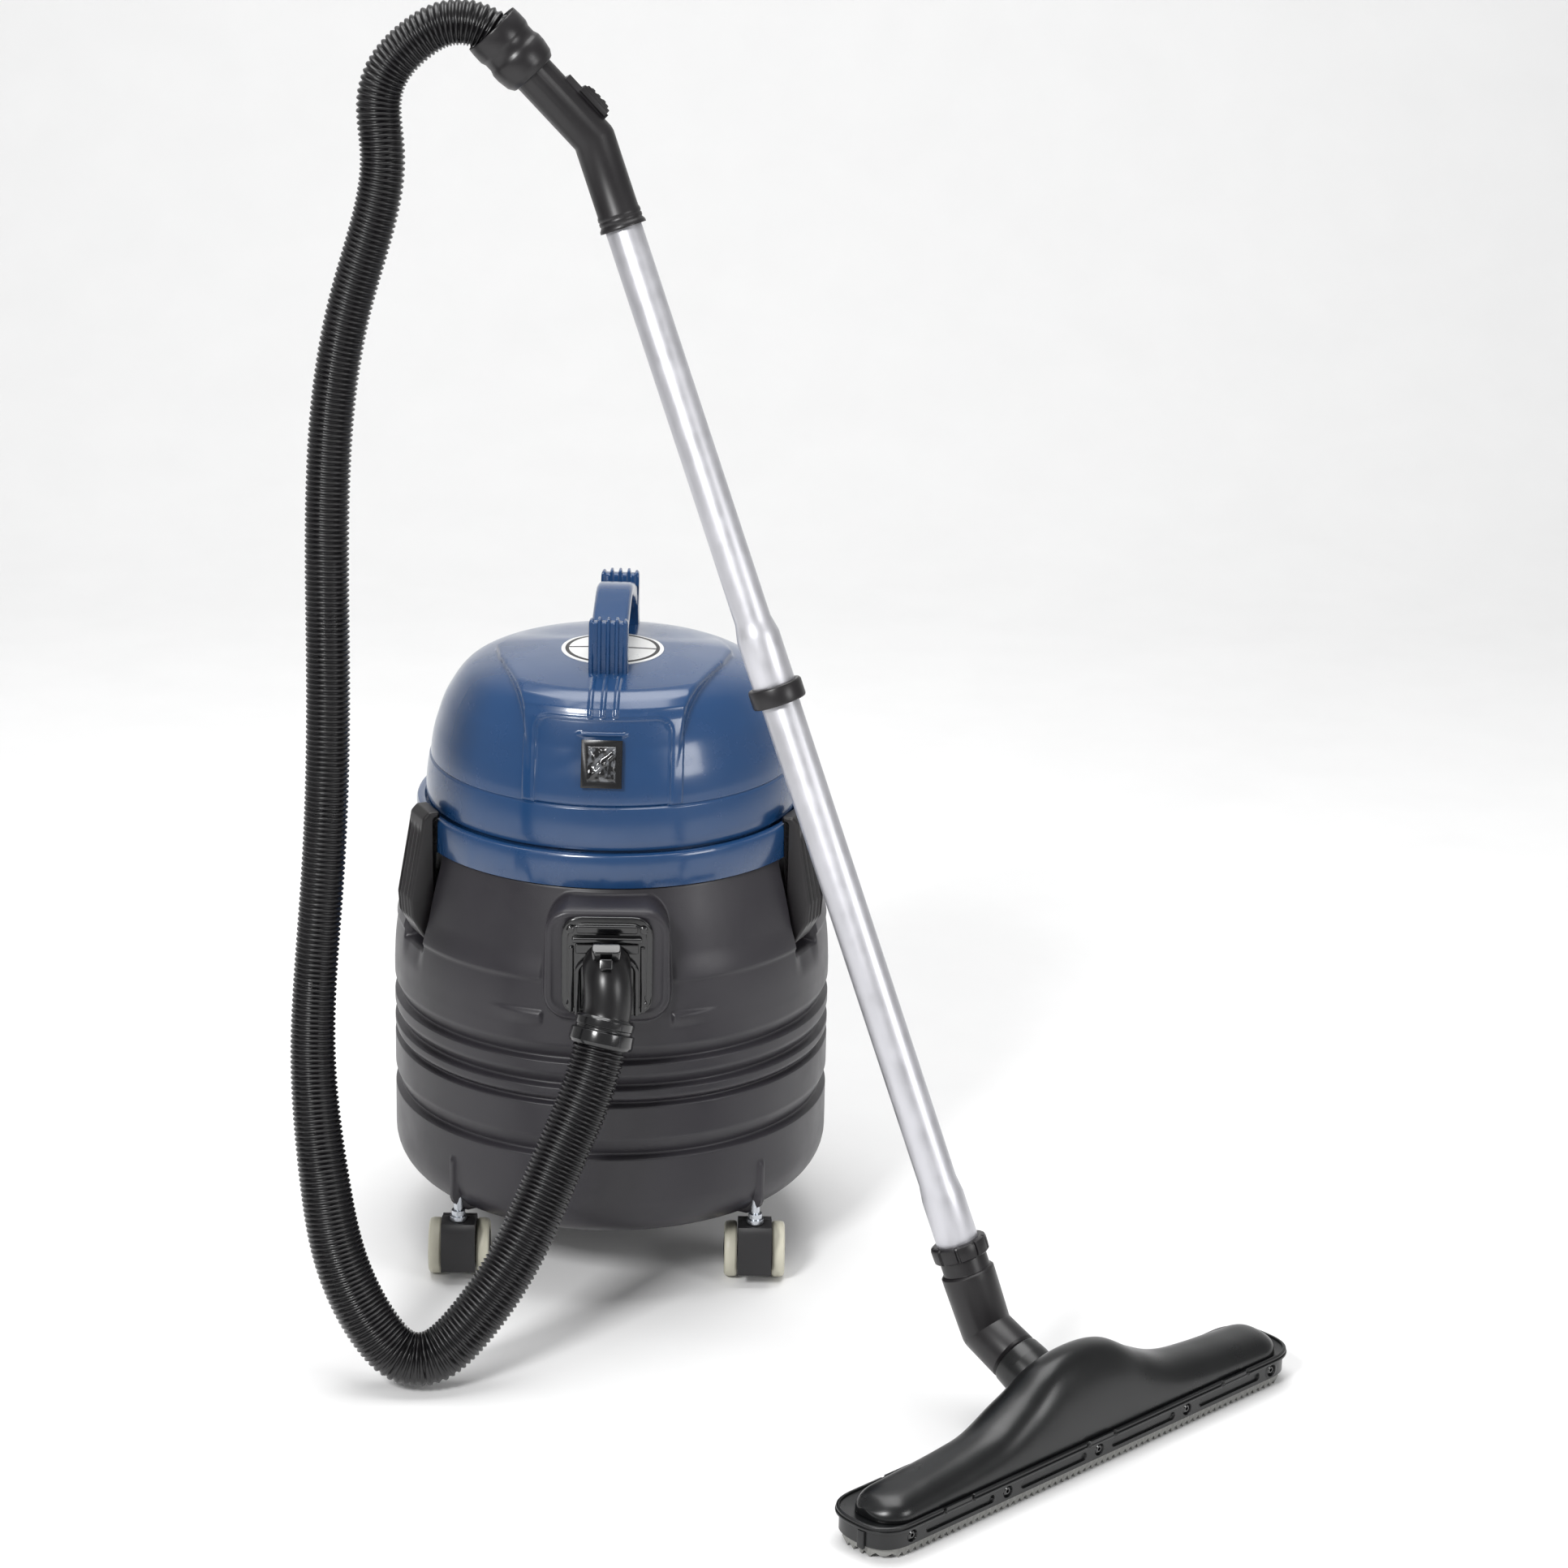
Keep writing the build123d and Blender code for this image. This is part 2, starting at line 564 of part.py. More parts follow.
with BuildPart() as wand_upper:
    add(spun(ELBOW, WAND_DIR, [
        (WAND_TOP_R, TOP_TUBE_S), (WAND_TOP_R, JOINT_S + SWAGE_L + SWAGE_TAPER),
        (SWAGE_R, JOINT_S + SWAGE_L), (SWAGE_R, JOINT_S), (WAND_LOW_R + RUN, JOINT_S),
        (WAND_LOW_R + RUN, JOINT_S + SWAGE_L), (WAND_TOP_R - WAND_WALL, JOINT_S + SWAGE_L + SWAGE_TAPER),
        (WAND_TOP_R - WAND_WALL, TOP_TUBE_S),
    ]))
finish(wand_upper, "wand_upper")

with BuildPart() as wand_ring:
    add(spun(ELBOW, WAND_DIR, [
        (SWAGE_R + FIT, JOINT_S - 2), (22, JOINT_S - 2), (22.5, JOINT_S), (22.5, JOINT_S + 12),
        (21.5, JOINT_S + 14), (SWAGE_R + FIT, JOINT_S + 14),
    ]))
finish(wand_ring, "wand_ring")

with BuildPart() as wand_lower:
    add(spun(ELBOW, WAND_DIR, [
        (WAND_LOW_R, JOINT_S + OVERLAP), (WAND_LOW_R, LOW_SWAGE_S + SWAGE_TAPER), (SWAGE_R, LOW_SWAGE_S),
        (SWAGE_R, LOW_TUBE_S), (SWAGE_R - WAND_WALL, LOW_TUBE_S), (SWAGE_R - WAND_WALL, LOW_SWAGE_S),
        (WAND_LOW_R - WAND_WALL, LOW_SWAGE_S + SWAGE_TAPER), (WAND_LOW_R - WAND_WALL, JOINT_S + OVERLAP),
    ]))
finish(wand_lower, "wand_lower")

# ---------------------------------------------------------------- floor tool
NECK_POINT = ELBOW - leg_dir * LEG_L

with BuildPart() as tool_elbow:
    add(spun(ELBOW, WAND_DIR, [
        (0, 0), (ELBOW_R, 0), (ELBOW_R, 48), (SWAGE_R + 2.4, 50), (SWAGE_R + 2.4, 66), (24, 68), (24, 78),
        (22.5, 80), (0, 80),
    ]))
    add(spun(ELBOW, leg_dir, [
        (0, 0), (ELBOW_R, 0), (ELBOW_R, -36), (TOOL_NECK_BORE_R, -36), (TOOL_NECK_BORE_R, -LEG_L),
        (0, -LEG_L),
    ]))
    with Locations(ELBOW):
        Sphere(ELBOW_R)
    add(spun(ELBOW, WAND_DIR, [
        (0, 0), (HOSE_BORE_R, 0), (HOSE_BORE_R, 60), (SWAGE_R + RUN, 60), (SWAGE_R + RUN, 81), (0, 81),
    ]), mode=Mode.SUBTRACT)
    add(spun(ELBOW, leg_dir, [
        (0, 0), (HOSE_BORE_R, 0), (HOSE_BORE_R, -LEG_L - 1), (0, -LEG_L - 1),
    ]), mode=Mode.SUBTRACT)
    with Locations(ELBOW):
        Sphere(HOSE_BORE_R, mode=Mode.SUBTRACT)
finish(tool_elbow, "tool_elbow")

# Outline of the body seen from the front: low rounded ends that rise to a hump at the neck.
END_X = TOOL_L / 2 - 12
tool_front = Plane(origin=TOOL_CENTRE, x_dir=tool_along, z_dir=-tool_back)


def body_outline(inset):
    with BuildLine(mode=Mode.PRIVATE) as outline:
        foot = Line((END_X - inset, RIM_Z - inset), (END_X - inset, RIM_Z + 8))
        top = Spline(
            foot @ 1,
            (END_X - 16 - inset, RIM_Z + 22 - inset),
            (END_X - 95, RIM_Z + 32 - inset),
            (60, 82 - inset),
            (0, 96 - inset),
            (-60, 82 - inset),
            (-END_X + 95, RIM_Z + 32 - inset),
            (-END_X + 16 + inset, RIM_Z + 22 - inset),
            (-END_X + inset, RIM_Z + 8),
        )
        Polyline(top @ 1, (-END_X + inset, RIM_Z - inset), foot @ 0)
    return outline.line


def body_solid(inset):
    with BuildPart(mode=Mode.PRIVATE) as solid:
        with BuildSketch(tool_front):
            add(body_outline(inset))
            make_face()
        extrude(amount=TOOL_W, both=True)
        with BuildSketch(tool_plane(0)):
            RectangleRounded(2 * (END_X - inset), TOOL_W - 10 - 2 * inset, 26 - inset)
        extrude(amount=120, mode=Mode.INTERSECT)
    return solid.part


with BuildPart() as tool_body:
    add(body_solid(0))
    add(spun(NECK_POINT, leg_dir, [(0, -20), (TOOL_NECK_R, -20), (TOOL_NECK_R, 30), (0, 30)]))
    split(bisect_by=Plane.XY.offset(RIM_Z), keep=Keep.TOP)
    add(body_solid(3.0), mode=Mode.SUBTRACT)
    add(spun(NECK_POINT, leg_dir, [
        (0, -8), (TOOL_NECK_BORE_R + RUN, -8), (TOOL_NECK_BORE_R + RUN, 31), (0, 31),
    ]), mode=Mode.SUBTRACT)
finish(tool_body, "tool_body")

SCREW_XS = [(k - 2) * TOOL_PITCH for k in range(5)]
SLOT_XS = [(k - 1.5) * TOOL_PITCH for k in range(4)]

with BuildPart() as tool_base:
    with BuildSketch(tool_plane(BASE_LOW_Z)):
        RectangleRounded(TOOL_L - 6, TOOL_W - 6, 30)
        RectangleRounded(TOOL_L - 6 - 2 * BASE_WALL, TOOL_W - 6 - 2 * BASE_WALL, 20, mode=Mode.SUBTRACT)
    extrude(amount=RIM_Z - 5 - BASE_LOW_Z)
    with BuildSketch(tool_plane(RIM_Z - 5)):
        RectangleRounded(TOOL_L, TOOL_W, 33)
        RectangleRounded(TOOL_L - 6 - 2 * BASE_WALL, TOOL_W - 6 - 2 * BASE_WALL, 20, mode=Mode.SUBTRACT)
    extrude(amount=5)
    # The rubber strip hangs in a slit that runs round the rim.
    with BuildSketch(tool_plane(BASE_LOW_Z)):
        RectangleRounded(TOOL_L - 12, TOOL_W - 12, 27)
        RectangleRounded(TOOL_L - 12 - 2 * STRIP_T, TOOL_W - 12 - 2 * STRIP_T, 24, mode=Mode.SUBTRACT)
    extrude(amount=8, mode=Mode.SUBTRACT)
    with BuildSketch(tool_front.offset(TOOL_W / 2 - 4)):
        with Locations(*[(x, TOOL_SCREW_Z) for x in SLOT_XS]):
            SlotOverall(76, 6)
    extrude(amount=4, mode=Mode.SUBTRACT)
    with BuildSketch(tool_front.offset(TOOL_W / 2 - 3 - 2.5)):
        with Locations(*[(x, TOOL_SCREW_Z) for x in SCREW_XS]):
            Circle(4.5)
    extrude(amount=6, mode=Mode.SUBTRACT)
    with BuildSketch(tool_front.offset(TOOL_W / 2 - 3 - BASE_WALL - 1)):
        with Locations(*[(x, TOOL_SCREW_Z) for x in SCREW_XS]):
            Circle(1.5 + FIT)
    extrude(amount=12, mode=Mode.SUBTRACT)
finish(tool_base, "tool_base")

with BuildPart() as tool_strip:
    with BuildSketch(tool_plane(0)):
        RectangleRounded(TOOL_L - 12 - 2 * FIT, TOOL_W - 12 - 2 * FIT, 27 - FIT)
        inside = 12 + 2 * STRIP_T - 2 * FIT
        RectangleRounded(TOOL_L - inside, TOOL_W - inside, 24 + FIT, mode=Mode.SUBTRACT)
    extrude(amount=BASE_LOW_Z + 8 - 2.5)
finish(tool_strip, "tool_strip")

with BuildPart() as tool_screws:
    for x in SCREW_XS:
        seat = TOOL_CENTRE + tool_along * x - tool_back * (TOOL_W / 2 - 5.5) + Vector(0, 0, TOOL_SCREW_Z)
        add(spun(seat, -tool_back, [
            (0, -7), (1.5, -7), (1.5, 0), (3.8, 0), (3.8, 1.4), (2.6, 2.2), (1.6, 2.2), (1.4, 0.8), (0, 0.8),
        ]))
finish(tool_screws, "tool_screws")

# ---------------------------------------------------------------- head casing
with BuildPart() as head_ring:
    add(turned([
        (158, 380), (161.5, 380), (161.5, 396.1), (RIM_LAND_R + 0.6, 396.1), (RIM_LAND_R + 0.6, 393),
        (171.5, 393), (173, RING_LOW_Z), (RING_R, RING_LOW_Z), (RING_R, 413), (174, RING_TOP_Z - 1),
        (171, RING_TOP_Z), (168, RING_TOP_Z), (165, 414), (NECK_R, 414), (NECK_R, 428), (156.5, 428),
        (156.5, BASE_Z), (150, BASE_Z), (150, 400), (158, 400),
    ]))
finish_on_head(head_ring, "head_ring")

# Half section of the dome's outside: an upright band up to the seam, then a crowned cap.
def dome_skin(inset, top=0.0):
    with BuildPart(mode=Mode.PRIVATE) as skin:
        with BuildSketch(Plane.XZ):
            with BuildLine():
                band = Polyline((0, DOME_LOW_Z), (166 - inset, DOME_LOW_Z), (162.5 - inset, DOME_SEAM_Z))
                cap = Spline(
                    band @ 1,
                    (157 - inset, 485),
                    (147 - inset, 511),
                    (127 - inset, 536 - inset * 0.6 + top),
                    (88, 549 - inset + top),
                    (0, DOME_TOP_Z - inset + top),
                    tangents=((-0.08, 1), (-1, 0)),
                )
                Polyline(cap @ 1, (0, DOME_LOW_Z))
            make_face()
        revolve(axis=Axis.Z)
    return skin.part


def front_block(inset, top=0.0):
    """The crisper middle of the cap: it stands proud of the shoulders and ends in a steep front face."""
    with BuildPart(mode=Mode.PRIVATE) as block:
        with BuildSketch(Plane.XY.offset(DOME_SEAM_Z - 6)):
            with BuildLine():
                front_right = [(68 - inset, -150), (106 - inset, -44), (116 - inset, 0)]
                right = front_right + [(x, -y) for x, y in front_right[1::-1]]
                Polyline(*right, *[(-x, y) for x, y in reversed(right)], close=True)
            make_face()
        extrude(amount=130)
        add(turned([
            (0, DOME_SEAM_Z - 6), (158.5 - inset, DOME_SEAM_Z - 6), (157.5 - inset, 468), (151 - inset, 505),
            (141 - inset, 538 - inset), (134 - inset, 543 - inset + top), (110, 550 - inset + top),
            (60, DOME_TOP_Z + 0.5 - inset + top), (0, DOME_TOP_Z + 1 - inset + top),
        ]), mode=Mode.INTERSECT)
    return block.part


with BuildPart() as dome_outside:
    add(dome_skin(0))
    add(front_block(0))

face_normal = Vector(0, -cos(radians(SWITCH_TILT)), sin(radians(SWITCH_TILT)))
face_up = Vector(0, sin(radians(SWITCH_TILT)), cos(radians(SWITCH_TILT)))
SWITCH_CENTRE = Vector(0, -156.5, SWITCH_Z)
HANDLE_SCREWS = [
    (x, y)
    for x in (-HANDLE_SCREW_X, HANDLE_SCREW_X)
    for y in (-HANDLE_SCREW_Y, HANDLE_SCREW_Y)
]

with BuildPart() as head_dome:
    add(dome_outside.part)
    add(dome_skin(DOME_WALL), mode=Mode.SUBTRACT)
    # The dome drops over the neck of the ring.
    add(turned([
        (0, 418), (163, 418), (163, 428), (NECK_R + FIT, 428), (NECK_R + FIT, 428.05), (0, 428.05),
    ]), mode=Mode.SUBTRACT)
    # Openings: the switch at the front, the exhaust and the power inlet at the rear.
    with BuildSketch(Plane(origin=SWITCH_CENTRE, x_dir=(1, 0, 0), z_dir=face_normal)):
        Rectangle(BEZEL_W - 6, BEZEL_H - 6)
    extrude(amount=30, both=True, mode=Mode.SUBTRACT)
    with BuildSketch(Plane.XZ.offset(-120)):
        with Locations((0, EXHAUST_Z)):
            Rectangle(EXHAUST_W, EXHAUST_H)
        with Locations((0, POWER_Z)):
            Rectangle(POWER_W, POWER_H)
    extrude(amount=-60, mode=Mode.SUBTRACT)
    with Locations(*[(x, y, 530) for x, y in HANDLE_SCREWS]):
        Cylinder(2.1, 60, mode=Mode.SUBTRACT)
finish_on_head(head_dome, "head_dome")

# ---------------------------------------------------------------- carrying handle and badge
with BuildPart() as carry_handle:
    with BuildSketch(Plane.YZ):
        with BuildLine():
            front = Polyline(
                (-HANDLE_HALF - 2, HANDLE_FOOT_Z),
                (-HANDLE_HALF + 5, HANDLE_BLOCK_Z),
                (-HANDLE_HALF + 14, HANDLE_BLOCK_Z),
                (-HANDLE_HALF + 14, 586),
            )
            over = Spline(
                front @ 1, (-56, 594), (-30, 602.5), (0, HANDLE_TOP_Z), (30, 602.5), (56, 594),
                (HANDLE_HALF - 14, 586),
            )
            rear = Polyline(
                over @ 1,
                (HANDLE_HALF - 14, HANDLE_BLOCK_Z),
                (HANDLE_HALF - 5, HANDLE_BLOCK_Z),
                (HANDLE_HALF + 2, HANDLE_FOOT_Z),
                (HANDLE_HALF - 16, HANDLE_FOOT_Z),
                (HANDLE_HALF - 22, 568),
            )
            under = Spline(rear @ 1, (40, 585), (0, HANDLE_TOP_Z - 12), (-40, 585), (-HANDLE_HALF + 22, 568))
            Polyline(under @ 1, (-HANDLE_HALF + 16, HANDLE_FOOT_Z), front @ 0)
        make_face()
    extrude(amount=HANDLE_W / 2, both=True)
    # Four grooves run down the outer face of each block.
    for end in (-1, 1):
        with BuildSketch(Plane.XY.offset(550)):
            with Locations((0, end * (HANDLE_HALF + 1))):
                with GridLocations(8, 0, 4, 1):
                    Rectangle(4.4, 9)
        extrude(amount=60, mode=Mode.SUBTRACT)
    add(dome_outside.part, mode=Mode.SUBTRACT)
    with Locations(*[(x, y, HANDLE_FOOT_Z) for x, y in HANDLE_SCREWS]):
        Cylinder(1.6, 56, mode=Mode.SUBTRACT)
finish_on_head(carry_handle, "carry_handle")

with BuildPart() as badge:
    add(front_block(0, BADGE_T))
    with BuildSketch(Plane.XY.offset(540)):
        with Locations((0, BADGE_Y)):
            Circle(BADGE_R)
    extrude(amount=30, mode=Mode.INTERSECT)
    add(dome_outside.part, mode=Mode.SUBTRACT)
finish_on_head(badge, "badge")

# ---------------------------------------------------------------- switch


def switch_face(height=0.0):
    """Plane of the switch's face, local x across and local y up the face."""
    return Plane(origin=SWITCH_CENTRE + face_normal * height, x_dir=(1, 0, 0), z_dir=face_normal)


def switch_side(x):
    """Upright plane across the switch, local x up the face and local y out of it."""
    return Plane(origin=SWITCH_CENTRE + Vector(x, 0, 0), x_dir=face_up, z_dir=(1, 0, 0))


with BuildPart() as switch_bezel:
    with BuildSketch(switch_face(-8)):
        Rectangle(BEZEL_W, BEZEL_H)
    extrude(amount=11)
    add(dome_outside.part, mode=Mode.SUBTRACT)
    with BuildSketch(switch_face(-26)):
        Rectangle(BEZEL_W - 6.5, BEZEL_H - 6.5)
    extrude(amount=26)
    with BuildSketch(switch_face(-23)):
        Rectangle(24, 30)
    extrude(amount=30, mode=Mode.SUBTRACT)
    with BuildSketch(switch_side(-13.8)):
        with Locations((0, -ROCKER_PIVOT)):
            Circle(ROCKER_PIN_R + RUN)
    extrude(amount=27.6, mode=Mode.SUBTRACT)
finish_on_head(switch_bezel, "switch_bezel")

with BuildPart() as switch_rocker:
    with BuildSketch(switch_side(-11.5)):
        with BuildLine():
            Polyline((13, -1.5), (0, -3.2), (-13, -1.5), (-12.5, -10), (0, -14), (12.5, -10), close=True)
        make_face()
    extrude(amount=23)
    with BuildSketch(switch_side(-13.5)):
        with Locations((0, -ROCKER_PIVOT)):
            Circle(ROCKER_PIN_R)
    extrude(amount=27)
finish_on_head(switch_rocker, "switch_rocker")

with BuildPart() as switch_cover:
    with BuildSketch(switch_face(3)):
        RectangleRounded(28, 34, 4)
    extrude(amount=2.2)
    with BuildSketch(switch_face(5.2)):
        RectangleRounded(22, 28, 3)
    extrude(amount=1)
finish_on_head(switch_cover, "switch_cover")

# ---------------------------------------------------------------- rear fittings
with BuildPart() as exhaust_grille:
    with BuildSketch(Plane.XZ.offset(-140)):
        with Locations((0, EXHAUST_Z)):
            Rectangle(EXHAUST_W - 0.1, EXHAUST_H - 0.1)
            with GridLocations(9.6, 0, 8, 1):
                Rectangle(5, 18, mode=Mode.SUBTRACT)
    extrude(amount=-4)
finish_on_head(exhaust_grille, "exhaust_grille")

with BuildPart() as power_inlet:
    with BuildSketch(Plane.XZ.offset(-140)):
        with Locations((0, POWER_Z)):
            Rectangle(POWER_W - 0.1, POWER_H - 0.1)
    extrude(amount=-29)
    with BuildSketch(Plane.XZ.offset(-153)):
        with Locations((0, POWER_Z)):
            Rectangle(POWER_W - 6, POWER_H - 7)
    extrude(amount=-17, mode=Mode.SUBTRACT)
    with BuildSketch(Plane.XZ.offset(-153)):
        with Locations((-6, POWER_Z - 2), (0, POWER_Z + 2), (6, POWER_Z - 2)):
            Rectangle(2, 4)
    extrude(amount=-12)
finish_on_head(power_inlet, "power_inlet")

# ---------------------------------------------------------------- motor deck, filter and float
with BuildPart() as motor_base:
    with BuildSketch(Plane.XY.offset(BASE_Z)):
        Circle(156.4)
        Circle(40, mode=Mode.SUBTRACT)
        with PolarLocations(140, 4, start_angle=45):
            Circle(2.2, mode=Mode.SUBTRACT)
    extrude(amount=BASE_T)
    with BuildSketch(Plane.XY.offset(BASE_Z + BASE_T)):
        Circle(MOTOR_R + 9)
        Circle(MOTOR_R + 6, mode=Mode.SUBTRACT)
    extrude(amount=14)
finish_on_head(motor_base, "motor_base")

with BuildPart() as head_screws:
    for k in range(4):
        spot = Vector(140 * cos(radians(45 + 90 * k)), 140 * sin(radians(45 + 90 * k)), BASE_Z)
        add(spun(spot, Vector(0, 0, 1), [(0, -3), (3, -3), (4, -2), (4, 0), (2, 0), (2, 22), (0, 22)]))
    for x, y in HANDLE_SCREWS:
        spot = Vector(x, y, HANDLE_FOOT_Z)
        add(spun(spot, Vector(0, 0, 1), [(0, -3), (4, -3), (4, 0), (1.58, 0), (1.58, 26), (0, 26)]))
finish_on_head(head_screws, "head_screws")

with BuildPart() as filter_cage:
    add(turned([
        (CAGE_R - 3, CAGE_LOW_Z + 3), (0, CAGE_LOW_Z + 3), (0, CAGE_LOW_Z), (CAGE_R, CAGE_LOW_Z),
        (CAGE_R, BASE_Z - 4), (CAGE_R + 12, BASE_Z - 4), (CAGE_R + 12, BASE_Z),
        (CAGE_R - 3, BASE_Z),
    ]))
    with Locations((0, 0, CAGE_LOW_Z + 70)):
        with PolarLocations(CAGE_R, 12):
            Box(10, 18, 100, mode=Mode.SUBTRACT)
    with PolarLocations(FLOAT_R + 3.2, 3):
        with Locations((0, 0, CAGE_LOW_Z + 2)):
            Cylinder(3, 110, align=(Align.CENTER, Align.CENTER, Align.MIN))
finish_on_head(filter_cage, "filter_cage")

with BuildPart() as cloth_filter:
    add(turned([
        (CAGE_R + 0.5, CAGE_LOW_Z - 1), (0, CAGE_LOW_Z - 1), (0, CAGE_LOW_Z - 4),
        (CAGE_R + 3, CAGE_LOW_Z - 4),
        (CAGE_R + 5, BASE_Z - 6), (CAGE_R + 0.5, BASE_Z - 6),
    ]))
finish_on_head(cloth_filter, "cloth_filter")

with BuildPart() as float_ball:
    with Locations((0, 0, CAGE_LOW_Z + 3 + FLOAT_R + 0.5)):
        Sphere(FLOAT_R)
        Sphere(FLOAT_R - 2, mode=Mode.SUBTRACT)
finish_on_head(float_ball, "float_ball")

# ---------------------------------------------------------------- motor
with BuildPart() as motor_gasket:
    add(turned([
        (50, BASE_Z + BASE_T), (MOTOR_R + 5, BASE_Z + BASE_T), (MOTOR_R + 5, MOTOR_LOW_Z), (50, MOTOR_LOW_Z),
    ]))
finish_on_head(motor_gasket, "motor_gasket")

with BuildPart() as motor_can:
    add(turned([
        (45, MOTOR_LOW_Z), (MOTOR_R, MOTOR_LOW_Z), (MOTOR_R, 440), (44, 444), (44, MOTOR_TOP_Z - 4),
        (18, MOTOR_TOP_Z), (BEARING_R + FIT, MOTOR_TOP_Z), (BEARING_R + FIT, MOTOR_TOP_Z - 8),
        (8, MOTOR_TOP_Z - 8), (8, MOTOR_TOP_Z - 10), (40, MOTOR_TOP_Z - 10), (40, 450),
        (BEARING_R + FIT, 450), (BEARING_R + FIT, 442), (8, 442), (8, 440), (MOTOR_R - 3, 437),
        (MOTOR_R - 3, MOTOR_LOW_Z + 3), (45, MOTOR_LOW_Z + 3),
    ]))
    with PolarLocations(42, 6):
        with Locations((0, 0, 472)):
            Box(10, 14, 28, mode=Mode.SUBTRACT)
finish_on_head(motor_can, "motor_can")

with BuildPart() as motor_bearings:
    for low in (442, MOTOR_TOP_Z - 8):
        add(turned([(SHAFT_R + RUN, low), (BEARING_R, low), (BEARING_R, low + 8), (SHAFT_R + RUN, low + 8)]))
finish_on_head(motor_bearings, "motor_bearings")

with BuildPart() as motor_rotor:
    add(turned([
        (0, 414.5), (SHAFT_R, 414.5), (SHAFT_R, 452), (27, 452), (27, 488), (12, 488), (12, 494),
        (SHAFT_R, 494), (SHAFT_R, 504), (0, 504),
    ]))
finish_on_head(motor_rotor, "motor_rotor")

with BuildPart() as fan_impeller:
    for low in (418.0, 431.0):
        add(turned([(SHAFT_R + FIT, low), (54, low), (54, low + 1.5), (SHAFT_R + FIT, low + 1.5)]))
    with BuildSketch(Plane.XY.offset(419.5)):
        with PolarLocations(32, 9):
            with Locations(Rotation(0, 0, 35)):
                Rectangle(36, 1.5)
    extrude(amount=11.5)
    with Locations((0, 0, 418)):
        Cylinder(10, 14.5, align=(Align.CENTER, Align.CENTER, Align.MIN))
        Cylinder(SHAFT_R + FIT, 30, mode=Mode.SUBTRACT)
finish_on_head(fan_impeller, "fan_impeller")

with BuildPart() as acoustic_foam:
    add(turned([(100, 425), (150, 425), (148, 470), (140, 500), (100, 500)]))
    with Locations((0, -150, 470)):
        Box(60, 60, 100, mode=Mode.SUBTRACT)
    with Locations((0, 150, 460)):
        Box(100, 60, 100, mode=Mode.SUBTRACT)
    with PolarLocations(140, 4, start_angle=45):
        with Locations((0, 0, 425)):
            Cylinder(6, 8, mode=Mode.SUBTRACT)
finish_on_head(acoustic_foam, "acoustic_foam")
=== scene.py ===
"""Looks of a wet and dry canister vacuum cleaner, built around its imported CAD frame.

Every piece is modelled in millimetres about the axis of the tank, on the floor, and is moved into the
frame's own place and metres when its mesh is made. The head's pieces are turned a little on the tank.
"""
import json
import math

import bmesh
import bpy
import numpy as np
from mathutils import Matrix, Vector


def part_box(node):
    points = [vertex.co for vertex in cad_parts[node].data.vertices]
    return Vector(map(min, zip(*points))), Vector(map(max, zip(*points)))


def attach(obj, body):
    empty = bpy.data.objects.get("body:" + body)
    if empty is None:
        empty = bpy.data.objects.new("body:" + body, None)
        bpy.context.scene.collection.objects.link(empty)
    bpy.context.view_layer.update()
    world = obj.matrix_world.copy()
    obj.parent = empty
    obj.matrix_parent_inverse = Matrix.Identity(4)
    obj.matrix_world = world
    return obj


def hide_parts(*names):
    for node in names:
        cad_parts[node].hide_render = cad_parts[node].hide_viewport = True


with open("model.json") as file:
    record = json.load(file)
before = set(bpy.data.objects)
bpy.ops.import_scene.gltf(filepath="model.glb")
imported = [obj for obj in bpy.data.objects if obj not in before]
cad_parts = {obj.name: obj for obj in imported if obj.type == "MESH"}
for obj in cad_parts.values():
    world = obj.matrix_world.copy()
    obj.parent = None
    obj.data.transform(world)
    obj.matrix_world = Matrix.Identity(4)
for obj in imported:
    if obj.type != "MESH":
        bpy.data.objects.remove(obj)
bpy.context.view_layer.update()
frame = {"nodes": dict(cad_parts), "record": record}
NODES = frame["nodes"]
TAU = 2 * math.pi
MM = 0.001

seal_low, seal_high = (np.array(corner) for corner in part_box("tank_gasket"))
AXIS = (seal_low + seal_high) / 2 * (1, 1, 0)      # foot of the tank's axis in the frame, in metres
HEAD_TURN = math.radians(-2.5)
TURNED_BODIES = ("head", "rocker", "rotor", "float")


# ------------------------------------------------------------------ geometry helpers
def fillet(points, radius, closed=True, steps=4):
    """Round the corners of an outline. A point may carry its own radius as a third value."""
    rounded = []
    count = len(points)
    for k, point in enumerate(points):
        corner = np.array(point[:2], float)
        size = point[2] if len(point) > 2 else radius
        if size <= 0 or (not closed and k in (0, count - 1)):
            rounded.append(corner)
            continue
        to_last = np.array(points[k - 1][:2], float) - corner
        to_next = np.array(points[(k + 1) % count][:2], float) - corner
        last_l, next_l = np.linalg.norm(to_last), np.linalg.norm(to_next)
        to_last, to_next = to_last / last_l, to_next / next_l
        half = math.acos(max(-1.0, min(1.0, float(to_last @ to_next)))) / 2
        cut = min(size / max(math.tan(half), 1e-3), 0.46 * last_l, 0.46 * next_l)
        start, end = corner + to_last * cut, corner + to_next * cut
        for t in np.linspace(0, 1, steps + 1):
            rounded.append((1 - t) ** 2 * start + 2 * t * (1 - t) * corner + t * t * end)
    return np.array(rounded)


